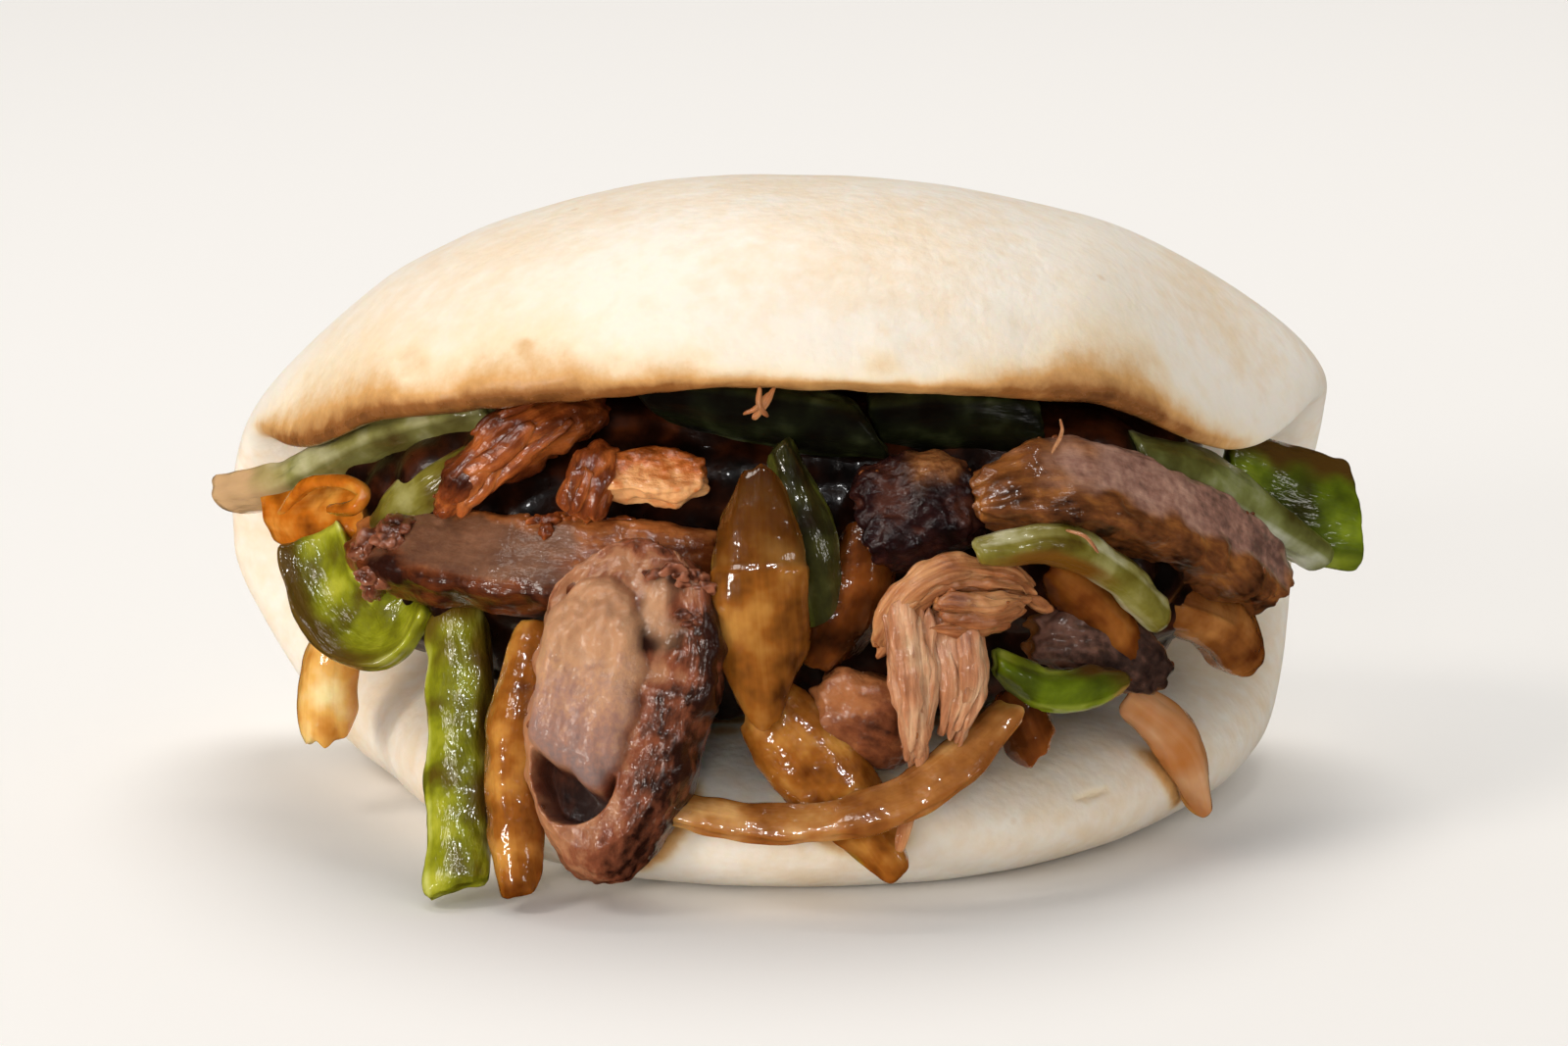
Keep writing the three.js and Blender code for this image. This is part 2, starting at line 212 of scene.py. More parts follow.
def friedOnion(name, look):
    # fried onion: a soft see-through layer with faint veins along it, caramel at the rims where the
    # sauce gathers
    material, add, (patch, beads) = startSkin("fried onion " + name, look, patchMm=3, beadMm=2)
    vein, parts, covered, relief = readMesh(add, look["veinMm"], {"Detail": 2})
    mottled = add("Mix", {0: 0.88}, {2: vein, 3: patch})
    # painted shade: relief lightens the raised parts and darkens the low ones, over the veins and patches
    shade = add("Math", {1: 0.3}, {0: relief, 2: mottled}, **multiplyAdd)
    layer = add("ValToRGB", links={"Fac": shade}, stops=zip((0.32, 0.5, 0.68), look["layer"]))
    side = add("Math", links={0: parts["Y"]}, operation="ABSOLUTE")
    rim = add("MapRange", {"From Min": 0.7, "To Max": look["rim"]}, {"Value": side})
    deep = add("MapRange", {"From Min": -0.9, "From Max": -0.15, "To Min": 1, "To Max": 0.45},
               {"Value": parts["X"]})
    darker = add("Math", links={0: covered, 1: deep, 2: rim}, **multiplyAdd)
    colour = add("Mix", {mixSecond: linear(look["layer"][0])}, {mixFactor: darker, mixFirst: layer},
                 **mixColours)
    ribs = add("Bump", {"Strength": 0.3, "Distance": 0.2 * mm}, {"Height": vein})
    wet = add("Bump", {"Strength": look["wetness"], "Distance": 0.4 * mm}, {"Height": beads, "Normal": ribs})
    return finishSkin(material, {
        **wetSkin, "Roughness": 0.24, "IOR": 1.4, "Subsurface Weight": 0.5,
        "Subsurface Radius": (1, 0.5, 0.16), "Subsurface Scale": 2.4 * mm,
        "Coat Weight": look["film"], "Coat Roughness": 0.04,
    }, {"Base Color": colour, "Normal": wet, "Coat Normal": wet})


def sauceGlaze(name, look):
    # thick soy and sugar glaze: nearly black where deep, red brown where thin, with sharp wet highlights
    material, add, (pools, grit) = startSkin(name, look, poolMm=4, gritMm=3)
    colour = add("ValToRGB", links={"Fac": pools}, stops=zip((0.36, 0.52, 0.7), look["tones"]))
    rough = add("MapRange", {"To Min": 0.2, "To Max": 0.45}, {"Value": grit})
    bumps = add("Bump", {"Strength": 0.4, "Distance": 0.25 * mm}, {"Height": grit})
    return finishSkin(material, {
        **wetSkin, "IOR": 1.45, "Specular IOR Level": 0.3, "Coat Weight": look["film"],
        "Coat Roughness": 0.05,
    }, {"Base Color": colour, "Roughness": rough, "Normal": bumps})


meatBase = {    # colours run from dark to light, fibreMm is length and width
    "face": ("845335", "ab754f", "cc9e74"), "film": 0.8, "faceFilm": 0.5, "speckle": 0.5, "faceFade": 0,
    "hollows": 0.2, "under": 0.06, "fibreMm": (6, 0.45), "patchMm": 4, "crumbMm": 0.5,
}
meatLooks = {
    # the roll's negative under paints its right side darker, painted shade away from the lamps on the left
    "roll": {"sauced": ("2d140c", "864a30", "b27c58"), "face": ("88706a", "a57b6a", "c4946e"), "film": 0.7,
             "speckle": 0.4, "faceFade": -0.42, "hollows": 0.25, "under": -0.17, "fibreMm": (2.2, 1.3),
             "patchMm": 6},
    "slice": {"sauced": ("2b1109", "703514", "b06a35"), "face": ("5c3929", "6e4831", "885c42"), "film": 0.4,
              "faceFilm": 0.3, "speckle": 0.3, "under": 0.14, "fibreMm": (4, 1.6), "patchMm": 6,
              "crumbMm": 0.8},
    "stringy": {"sauced": ("87502f", "bd8059", "e0ae86")},
    "russet": {"sauced": ("723c1c", "b47346", "d89c68")},
    "glazed": {"sauced": ("3a1508", "7a3814", "bd662c"), "face": ("6d4336", "8d5c4c", "a97a68"),
               "faceFilm": 0.7, "hollows": 0.16, "under": 0.05, "fibreMm": (3.5, 0.9), "crumbMm": 0.6},
    "flake": {"sauced": ("7a3a0f", "cb7032", "f0b074"), "face": ("8d5228", "c07b42", "dca468"), "film": 0.6,
              "hollows": 0.3, "under": -0.17, "fibreMm": (1.6, 0.9), "patchMm": 3},
    "charred": {"sauced": ("120607", "291110", "4c281d"), "face": ("5c3418", "86522a", "b47e4a"),
                "film": 0.15, "faceFilm": 0.4, "under": 0.04, "fibreMm": (1.6, 0.9)},
    "slab": {"sauced": ("2e1508", "7a4722", "b07034"), "face": ("6c4d42", "a07463", "c89c86"),
             "faceFilm": 0.9, "faceFade": -0.12, "hollows": 0.15, "under": 0.08, "fibreMm": (4, 1.2),
             "crumbMm": 1},
}
meatLooks["crumb"] = {**meatLooks["roll"], "sauced": ("2c120a", "64331f", "9a5f44"), "film": 0.8}
meatLooks["chunk"] = {**meatLooks["roll"], "sauced": ("2d140c", "7d4426", "ac6c40"), "under": 0.12}
meatLooks["dusky"] = {**meatLooks["slab"], "sauced": ("2e1508", "5f3415", "8f5727"),
                      "face": ("2c1a15", "4c3329", "80594a")}
pepperBase = {"film": 0.8, "patchMm": 5, "wrinkleMm": (4, 1.1)}
pepperLooks = {
    "bright": {"skin": ("5a4a0c", "6a680e", "8c8f14", "b0b032"), "flesh": ("6a680e", "a2a41f", "cfd070"),
               "seared": "5c4412", "wrinkleMm": (2.5, 1)},
    "leaf": {"skin": ("3a3a0a", "4c5808", "67780a", "90a21e"), "flesh": ("4c5808", "7f8c1c", "abb450"),
             "seared": "553a10", "patchMm": 7, "wrinkleMm": (4, 1.2)},
    "cooked": {"skin": ("54420f", "6a5e18", "7e752c", "9f985a"), "flesh": ("6a5e18", "928a4c", "c6c29c"),
               "seared": "744a10", "film": 0.5, "wrinkleMm": (3, 1)},
    "pale": {"skin": ("4a3a14", "5a5224", "726e3a", "9a966c"), "flesh": ("5a5224", "8e8a4c", "c6c198"),
             "seared": "c6a074", "patchMm": 7},
    "strip": {"skin": ("463e14", "60602a", "7d8146", "9ea07a"), "flesh": ("60602a", "8e9066", "c8cab4"),
              "seared": "6a5424", "patchMm": 6},
    "dark": {"skin": ("241606", "2c2a0e", "403f18", "626038"), "flesh": ("2c2a0e", "5c6020", "8c9048"),
             "seared": "3a220c", "film": 1, "wrinkleMm": (2.5, 1)},
    "shaded": {"skin": ("0c0703", "100f08", "16180a", "282c18"), "flesh": ("100f08", "23270f", "474c2e"),
               "seared": "1c1008", "film": 0.05, "patchMm": 4},
}
onionBase = {"rim": 0.35, "film": 1, "veinMm": (25, 0.6), "patchMm": 5, "beadMm": 1.3, "wetness": 0.45}
onionLooks = {
    "petal": {"layer": ("4a2605", "95591c", "c28a40"), "rim": 0.2, "beadMm": 1.8, "wetness": 0.35},
    "amber": {"layer": ("663409", "9d5e1e", "cb8f41"), "rim": 0.5, "patchMm": 4, "beadMm": 1.4,
              "wetness": 0.55},
    "tan": {"layer": ("bd7638", "d29a6a", "e8c49c"), "rim": 0.8, "patchMm": 9, "beadMm": 2, "wetness": 0.3},
    "orange": {"layer": ("7a3e08", "c26c16", "e09a40"), "rim": 0.3, "patchMm": 4, "beadMm": 1.2,
               "wetness": 0.6},
    "golden": {"layer": ("80481a", "b07438", "d9a868"), "rim": 0.4, "beadMm": 1.5},
    # pale: a pale onion layer whose lightest colours are also painted light, for lamp light passing through
    # it
    "pale": {"layer": ("c67f28", "e9b662", "f8e0a6"), "rim": 0.7, "film": 0.8, "wetness": 0.4},
    "deep": {"layer": ("421c05", "7e4212", "ab6827"), "film": 0.9},
    "dark": {"layer": ("260e02", "582a09", "8c4c1a"), "beadMm": 1.2, "wetness": 0.5},
    "caramel": {"layer": ("5c2c0c", "935824", "bc7f42"), "film": 0.9, "wetness": 0.6},
}
# the nearly black bed between the strips: a dark soy glaze, and painted shade for the deep gaps
glazeAndGapShadeLook = {"tones": ("0e0502", "220d05", "4a210c"), "film": 0.35, "poolMm": 4, "gritMm": 0.9}
syrupLook = {"tones": ("4a210c", "8a4a20", "bd7a42"), "film": 1, "poolMm": 3, "gritMm": 0.9}

doughSkin = steamedDough(doughFinish)
meatSkins = {key: braisedMeat(key, {**meatBase, **look}) for key, look in meatLooks.items()}
pepperSkins = {key: greenPepper(key, {**pepperBase, **look}) for key, look in pepperLooks.items()}
onionSkins = {key: friedOnion(key, {**onionBase, **look}) for key, look in onionLooks.items()}
glazeAndGapShadeSkin = sauceGlaze("soy glaze and painted gap shade", glazeAndGapShadeLook)
syrupSkin = sauceGlaze("thin braising sauce", syrupLook)
print("materials:", len(bpy.data.materials))


# lines, bars and finished pieces

def lineThrough(samples):    # place and heading at a share of the line's length
    lengths = [0.0]
    for start, end in zip(samples, samples[1:]):
        lengths.append(lengths[-1] + (end - start).length)

    def at(share):
        reach = min(max(share, 0), 1) * lengths[-1]
        i = min(max(bisect.bisect_right(lengths, reach) - 1, 0), len(samples) - 2)
        heading = samples[i + 1] - samples[i]
        return samples[i] + heading * ((reach - lengths[i]) / heading.length), heading.normalized()

    return at, lengths[-1]


def routeThrough(points):    # a smooth curve through the points of a route
    knots = [Vector(p) for p in points]
    ends = [knots[0] * 2 - knots[1], *knots, knots[-1] * 2 - knots[-2]]
    samples = []
    for before, start, end, after in zip(ends, ends[1:], ends[2:], ends[3:]):
        handles = start + (end - before) / 6, end - (after - start) / 6
        samples += interpolate_bezier(start, *handles, end, 24)[:-1]
    return lineThrough([*samples, knots[-1]])


def cutBar(cuts):    # a cube from -1 to 1, cut into a grid on every side
    bm = bmesh.new()
    bmesh.ops.create_cube(bm, size=2)
    for axis, count in enumerate(cuts):
        edges = [e for e in bm.edges if abs(e.verts[0].co[axis] - e.verts[1].co[axis]) > 1e-4]
        bmesh.ops.subdivide_edges(bm, edges=edges, cuts=count, use_grid_fill=True)
    return bm


def layersOf(bm):
    vectors, floats = bm.verts.layers.float_vector, bm.verts.layers.float
    names = [("grain", vectors), ("section", vectors), ("bare", floats), ("relief", floats)]
    return [kind.get(name) or kind.new(name) for name, kind in names]


def windowShare(section, window, soft): # 1 inside a window of the section's coordinates, 0 outside
    share = 1
    for value, (low, high) in zip(section, window):
        share *= smooth(value, low - soft, low + soft) * (1 - smooth(value, high - soft, high + soft))
    return share


def profileAt(profile, u):    # how wide a strip is along its length, against its full width
    for (start, low), (end, high) in zip(profile, profile[1:]):
        if u <= end:
            return mixed(low, high, smooth(u, start, end))
    return profile[-1][1]


barNoise = {"swellMm": 8, "driftMm": 9, "drift": 0.3, "waveMm": 3, "frayMm": 1.3, "strayMm": 3}


def bentBar(piece, form, seed):    # a rounded bar bent along its route, before any relief
    look = {**form, **piece}    # a piece may change its form's values
    at, length = routeThrough(look["route"])
    width, thickness = look["width"], look["thickness"]
    bm = cutBar([max(3, round(s / look["stepMm"])) for s in (length, width, thickness)])
    grain, section, bare = layersOf(bm)[:3]
    facing = Vector(look["faces"])
    for v in bm.verts:
        u, a, t = v.co
        ring = max(abs(a), abs(t))
        if ring > 1e-6:
            pull = ring / (abs(a) ** look["round"] + abs(t) ** look["round"]) ** (1 / look["round"])
            a, t = a * pull, t * pull
        far = max(abs(u), ring)
        if far > 1e-6:
            pull = far / (abs(u) ** look["ends"] + ring ** look["ends"]) ** (1 / look["ends"])
            u, a, t = u * pull, a * pull, t * pull
        along = u * length / 2
        spot, heading = at((u + 1) / 2)
        side = heading.cross(facing).normalized()
        front = side.cross(heading)
        turn = math.radians(mixed(*look["twist"], (u + 1) / 2))
        cos, sin = math.cos(turn), math.sin(turn)
        side, front = side * cos + front * sin, front * cos - side * sin
        swell = 1 + look["uneven"] * ripple((along, 0, 0), barNoise["swellMm"], seed)
        drift = ripple((along, 5, 0), barNoise["driftMm"], seed + 3.1)
        drift = look["uneven"] * barNoise["drift"] * width * drift
        wave = look["edgeWave"] * ripple((along, a * 9, t * 4), barNoise["waveMm"], seed + 1.7)
        across = a * (width / 2 * profileAt(look["profile"], u) * swell + wave) + drift
        through = t * thickness / 2 * (2 - swell) * (1 - look["rimThin"] * a * a) - look["cup"] * a * a
        push = look["slant"] * a * width / 2 * smooth(abs(u), 0.5, 1)
        torn = look["fray"] * ripple((0, across, through), barNoise["frayMm"], seed + 0.9)
        push += torn * smooth(abs(u), 0.6, 1)
        v.co = (spot + heading * push + side * across + front * through) * mm
        v[grain] = (along + seed * 13.7, across + seed * 5.3, t * thickness / 2)
        v[section] = (u, a, t)
        stray = look["stray"] * ripple((along, across, through), barNoise["strayMm"], seed + 4.3)
        near = (u + stray, a + stray, t)
        v[bare] = max((windowShare(near, window, look["soft"]) for window in look["windows"]), default=0)
    return bm


def raiseRelief(bm, height):    # moves each vertex along its normal by a height in millimetres
    grain, section, bare, relief = layersOf(bm)
    bm.normal_update()
    moves = [(v, v.normal.copy(), height(v[grain], v[section], v[bare])) for v in bm.verts]
    for v, normal, raised in moves:
        v.co += normal * raised * mm
        v[relief] = raised


def keepOut(bm, tree, clearMm):    # lifts what would lie inside the dough back to its surface
    for v in bm.verts:
        spot, normal = tree.find_nearest(v.co)[:2]
        depth = (v.co - spot).dot(normal)
        if depth < clearMm * mm:
            v.co += normal * (clearMm * mm - depth)


def joinInto(whole, bm):
    mesh = bpy.data.meshes.new("part")
    bm.to_mesh(mesh)
    bm.free()
    whole.from_mesh(mesh)
    bpy.data.meshes.remove(mesh)


def finishPiece(bm, name, material, slot, node=None):
    bm.normal_update()
    mesh = bpy.data.meshes.new(name)
    bm.to_mesh(mesh)
    bm.free()
    mesh.shade_smooth()
    mesh.materials.append(material)
    piece = bpy.data.objects.new(name, mesh)
    scene.collection.objects.link(piece)
    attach(piece, "root")
    if node:
        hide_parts(node)


# the folded bun

bun = {
    "thickness": 16.5, "cuts": 118,
    "outlineSquareness": (2.2, 2.35), "rimSquareness": (8, 5),    # flap and lid
    "halfWidth": (59.5, 61), "flapNarrowing": (0.2, 0.1),    # left and right, as the next ones
    "lidDroop": (19, 13), "lipDroop": (9, 10), "cornerDroop": (12, 14),
    "flapWidens": ((-0.55, 0), (-0.1, 0.5)), "cornerReach": ((0.66, 1), (0.5, 1)),
    "lidBegins": (-0.35, 0.45), "lipBegins": (0.45, 0.95), "cornerBegins": (0.3, 0.85),
    "leftEndThinning": 0.1, "thinningReach": (0.4, 1), "rimCrowding": 0.8,
    "foldLine": [    # from the flap's edge round the fold to the lip, as (y, z)
        ((-41, 6.2), (-27, 6.6), (-8, 6.2), (7, 7.2)),
        ((7, 7.2), (19, 8.4), (25.5, 18), (25, 33)),
        ((25, 33), (24.6, 46), (17, 54.8), (5, 57.9)),
        ((5, 57.9), (-8, 61.4), (-25, 60.6), (-34, 53)),
    ],
    "swellMm": (20, 7), "swellHeight": (0.4, 0.12), "lipHeight": 0.35,
    "noiseSize": (60, 75, 12), "lipNoiseMm": 3.5,
    "lipStains": [    # middle, half length, strength
        (-46, 12, 0.75), (-28, 13, 1), (-6, 9, 0.5), (34, 13, 1),
    ],
    "lidSpots": [    # x, z, size, strength
        (-46.4, 52, 1, 0.4), (-37, 51.8, 3, 0.26), (-25.4, 55.2, 2, 0.32), (-7, 55.6, 1.6, 0.2),
        (10.4, 54.4, 2.2, 0.24), (31, 53, 3, 0.2),
    ],
    "stainHeight": (0.9, 2.7), "stainStrength": (0.45, 0.82),    # least and most that creeps up the lip
    "stainEnds": (42, 54), "stainBegins": (0.3, 0.6),    # along the mouth, along the fold line
    "crease": ((34.2, -33, 11.6), (38.8, -31, 13.2)),
    "creaseWidth": 0.4, "creaseDepth": 0.4, "creaseDarkening": 0.2, "creaseCuts": 4,
}

foldSamples = []
for stretch in bun["foldLine"]:
    foldSamples += interpolate_bezier(*(Vector((*p, 0)) for p in stretch), 60)[:-1]
foldAt = lineThrough([*foldSamples, Vector((*bun["foldLine"][-1][-1], 0))])[0]


def doughPoint(ball):    # a unit ball's point pressed flat, folded and drooped
    reach = math.sqrt(max(0, 1 - ball.z * ball.z)) ** bun["rimCrowding"]
    turn = math.atan2(ball.y, ball.x)
    lidSide = smooth(math.sin(turn), -0.6, 0.6)
    square = mixed(*bun["outlineSquareness"], lidSide)
    outline = (abs(math.cos(turn)) ** square + abs(math.sin(turn)) ** square) ** (1 / square)
    across = reach * math.cos(turn) / outline
    along = reach * math.sin(turn) / outline
    end = 0 if across < 0 else 1
    onLine, way = foldAt((along + 1) / 2)
    flap = 1 - smooth(along, *bun["flapWidens"][end])
    lid = smooth(along, *bun["lidBegins"])
    lip = smooth(along, *bun["lipBegins"])
    corner = smooth(along, *bun["cornerBegins"]) * smooth(abs(across), *bun["cornerReach"][end])
    thinning = 1 - bun["leftEndThinning"] * lid * smooth(-across, *bun["thinningReach"])
    edge = mixed(*bun["rimSquareness"], lid)
    rise = math.copysign(math.sqrt(max(0, 1 - min(reach, 1) ** edge)), ball.z)
    spread = Vector([share * size for share, size in zip((across, along, rise), bun["noiseSize"])])
    grow = sum(h * ripple(spread, s, s) for s, h in zip(bun["swellMm"], bun["swellHeight"]))
    grow += bun["lipHeight"] * lip * reach ** 6 * ripple(spread, bun["lipNoiseMm"], 4.4)
    lift = rise * (bun["thickness"] / 2 * thinning + grow)
    rimOut = grow * reach ** 8
    droop = (bun["lidDroop"][end] * lid + bun["lipDroop"][end] * lip) * across * across
    droop += bun["cornerDroop"][end] * corner
    x = (bun["halfWidth"][end] * (1 - bun["flapNarrowing"][end] * flap) + rimOut) * across
    y = onLine.x + way.x * along * rimOut - way.y * lift
    z = onLine.y + way.y * along * rimOut + way.x * lift - droop
    return Vector((x, y, z)), along, rise


def makeBun():
    bm = cutBar([bun["cuts"]] * 3)
    sauce = bm.verts.layers.float.new("sauce")
    for v in bm.verts:
        spot, along, rise = doughPoint(v.co.normalized())
        spot.z = max(spot.z, 0)
        v.co = spot * mm
        crept = sum(s * math.exp(-((spot.x - x) / half) ** 2) for x, half, s in bun["lipStains"])
        crept = max(crept * (1 + 0.8 * ripple((spot.x, 0, 0), 9, 0.7)) + 0.2 * ripple(spot, 3, 2.2), 0)
        crept = min(crept, 1)
        up = max(-rise, 0) * bun["thickness"] / 2    # height over the edge of the lip
        stain = math.exp(-up / mixed(*bun["stainHeight"], crept)) * mixed(*bun["stainStrength"], crept)
        stain *= 1 - smooth(spot.x, *bun["stainEnds"])
        for x, z, size, strength in bun["lidSpots"]:
            away = math.hypot(spot.x - x, spot.z - z) / size + 0.5 * ripple(spot, 2.4, 3.3)
            stain = max(stain, strength * math.exp(-away * away))
        v[sauce] = stain * smooth(along, *bun["stainBegins"])
    return bm


def creaseBun(bm, tree):    # a short fold in the skin of the lower flap
    sauce = bm.verts.layers.float["sauce"]
    first, last = (tree.find_nearest(Vector(p) * mm)[0] / mm for p in bun["crease"])
    line = last - first
    middle = (first + last) / 2 * mm
    near = [e for e in bm.edges if (e.verts[0].co - middle).length < line.length * 0.8 * mm]
    bmesh.ops.subdivide_edges(bm, edges=near, cuts=bun["creaseCuts"], use_grid_fill=True)
    bm.normal_update()
    for v in bm.verts:
        spot = v.co / mm - first
        share = min(max(spot.dot(line) / line.length_squared, 0), 1)
        away = (spot - line * share).length / bun["creaseWidth"] + 0.9 * ripple(spot, 1.3, 6.1)
        if away < 4:
            pinch = math.exp(-away * away) * math.sin(math.pi * mixed(0.1, 0.9, share))
            v.co -= v.normal * bun["creaseDepth"] * pinch * mm
            # the fold's line is also darkened brown, through the sauce attribute
            v[sauce] = max(v[sauce], bun["creaseDarkening"] * math.exp(-away * away / 4))


bunMesh = makeBun()
bunMesh.normal_update()
bunTree = BVHTree.FromBMesh(bunMesh)
creaseBun(bunMesh, bunTree)
print("bun:", len(bunMesh.verts), "points")


# strips of pepper, onion and meat

evenProfile = [(-1, 1), (1, 1)]
stripProfile = [(-1, 0.85), (-0.4, 1), (0.5, 1), (1, 0.8)]
petalProfile = [(-1, 0.7), (-0.1, 1), (0.3, 1), (1, 0.5)]
tailProfile = [(-1, 0.95), (0, 1), (1, 0.5)]
full = (-2, 2)    # a window that takes in the whole of one direction
stripForm = {
    "cup": 0, "rimThin": 0, "slant": 0, "twist": (0, 0), "profile": evenProfile, "windows": [], "stray": 0,
}
meatForm = {
    **stripForm, "thickness": 6.5, "round": 2.7, "ends": 3.4, "stepMm": 0.27, "uneven": 0.14, "edgeWave": 0.5,
    "fray": 1.4, "soft": 0.15, "stray": 0.3, "grit": 0.1, "proud": 0,
}
pepperForm = {
    **stripForm, "thickness": 2.6, "cup": 1.2, "round": 12, "ends": 14, "stepMm": 0.33, "uneven": 0.09,
    "edgeWave": 0.3, "slant": 0.25, "fray": 0.2, "twist": (-10, 10), "soft": 0.25, "stray": 0.2,
}
onionForm = {
    **stripForm, "thickness": 1.7, "cup": 1.7, "round": 4, "ends": 5, "stepMm": 0.36, "uneven": 0.1,
    "edgeWave": 0.35, "rimThin": 0.3, "slant": 0.2, "fray": 0.5, "twist": (-12, 12), "profile": stripProfile,
    "soft": 0.03,
}


def meatHeight(lumps, fibres, grit=meatForm["grit"], proud=0):
    def height(grain, section, bare):
        sauced = 1 - 0.75 * bare
        warp = 1.4 * ripple(grain, 6, 1.3)
        strand = (grain.x / 9, grain.y + warp, grain.z + 0.6 * warp)
        torn = smooth(ripple(grain, 6, 8.2), -0.4, 0.3)    # some stretches are pulled open
        return (lumps * sauced * (ripple(grain, 4.5) + 0.5 * ripple(grain, 2.1, 2.7))
                + fibres * (0.3 + 0.7 * torn) * (ridge(strand, 1.0) - 0.3)
                + grit * sauced * ripple(grain, 0.8, 5.1) + proud * bare)
    return height


def pepperHeight(grain, section, bare):
    hollowSide = smooth(abs(section.y), 0.8, 0.97) * max(0, 1 - section.z * section.z) * 0.25
    behind = smooth(-section.z, 0, 0.8)
    return (0.35 * ripple(grain, 6) + 0.16 * ripple((grain.x / 2, grain.y, grain.z), 1.8, 0.6)
            + behind * 0.2 * ripple(grain, 2.5, 3.3) - hollowSide)


def onionHeight(grain, section, bare):
    veins = ripple((grain.x / 20, grain.y, 0), 1.2)
    return 0.3 * ripple(grain, 6) + 0.04 * veins + 0.08 * ripple(grain, 2, 1.9) + 0.3 * bare


peppers = [
    {"node": "pepper_front_left", "look": "bright", "width": 6.2, "faces": (-0.2, -1, 0.5),
     "windows": [((-2, -0.78), full, full), ((-0.9, 0.7), (-2, -0.72), full)],
     "route": [(-33, -23, 27), (-32.5, -31, 15), (-31.9, -41, 2.2)]},
    {"node": "pepper_middle_right", "look": "cooked", "width": 3.8, "thickness": 2.1, "faces": (0, -1, -0.1),
     "windows": [((-0.85, 0.2), (-0.2, 2), full)], "stray": 0.08, "uneven": 0.16,
     "profile": [(-1, 0.6), (-0.5, 1), (1, 0.9)],
     "route": [(20.5, -37.5, 36), (28.5, -34.5, 36), (34.5, -30, 32), (39.5, -25, 26)]},
    {"node": "pepper_lower_right", "look": "leaf", "width": 3.9, "thickness": 2.2, "faces": (0, -1, 0.3),
     "windows": [((0.3, 2), (-2, -0.3), full), ((0.75, 2), full, full)],
     "profile": [(-1, 0.5), (-0.3, 1), (0.5, 1), (1, 0.6)],
     "route": [(22.5, -36, 24.5), (28, -34, 21.3), (35.5, -28, 21)]},
    {"node": "pepper_dark_middle", "look": "dark", "width": 5.2, "faces": (0.4, -1, 0.1),
     "profile": [(-1, 0.5), (-0.3, 1), (1, 0.8)],
     "route": [(0.5, -31, 46), (4, -34.5, 36), (6, -35, 25)]},
    {"node": "pepper_right_strip", "look": "strip", "width": 5.4, "faces": (0.3, -0.8, 0.8),
     "profile": [(-1, 0.9), (-0.3, 1), (1, 0.45)],
     "route": [(36.5, -19, 42.5), (45.5, -12, 38), (57, -2.5, 27.5)]},
    {"node": "pepper_right_square", "look": "leaf", "width": 11, "faces": (0.5, -1, 0.3),
     "windows": [(full, (-2, -0.55), full)],
     "route": [(46.5, -2.5, 35.5), (54, 0, 32.5), (60.5, 2.5, 30.5)]},
    {"node": "pepper_left_curl", "look": "bright", "width": 7.5, "thickness": 2.2, "cup": -1.6,
     "slant": 0, "faces": (-0.3, -0.8, 0.7), "windows": [((-2, 0.5), (0.55, 2), full)],
     "route": [(-48, -8.5, 30.5), (-45.5, -13.5, 23.8), (-40.5, -18.5, 22), (-36, -20, 27.5)]},
    {"node": "pepper_left_middle", "look": "cooked", "width": 5.8, "slant": 0, "fray": 0, "ends": 5,
     "faces": (-0.4, -1, 0.6), "windows": [(full, (-2, -0.85), full)], "stray": 0, "soft": 0.1,
     "profile": [(-1, 0.45), (-0.3, 1), (1, 0.5)],
     "route": [(-41.5, -16, 33.5), (-35.5, -20, 39), (-29, -21.5, 43.5)]},
    {"node": "pepper_left_lip", "look": "pale", "width": 6.2, "faces": (-0.4, -0.6, -1),
     "windows": [((-2, -0.62), full, full)],
     "route": [(-57.8, 5, 30.7), (-50, -2, 33.8), (-39, -12, 41), (-28, -19.5, 45.5)]},
    {"node": "pepper_under_lip", "look": "shaded", "width": 6, "faces": (0, -1, -0.3),
     "profile": stripProfile, "slant": 0.7, "route": [(-13, -26.5, 49.5), (-2, -28, 48), (10, -27.5, 46.2)]},
    {"node": "pepper_dark_right", "look": "shaded", "width": 7, "faces": (0, -1, -0.3),
     "profile": stripProfile, "route": [(10, -25, 46.5), (18, -24.5, 46.5), (27, -22, 45)]},
]
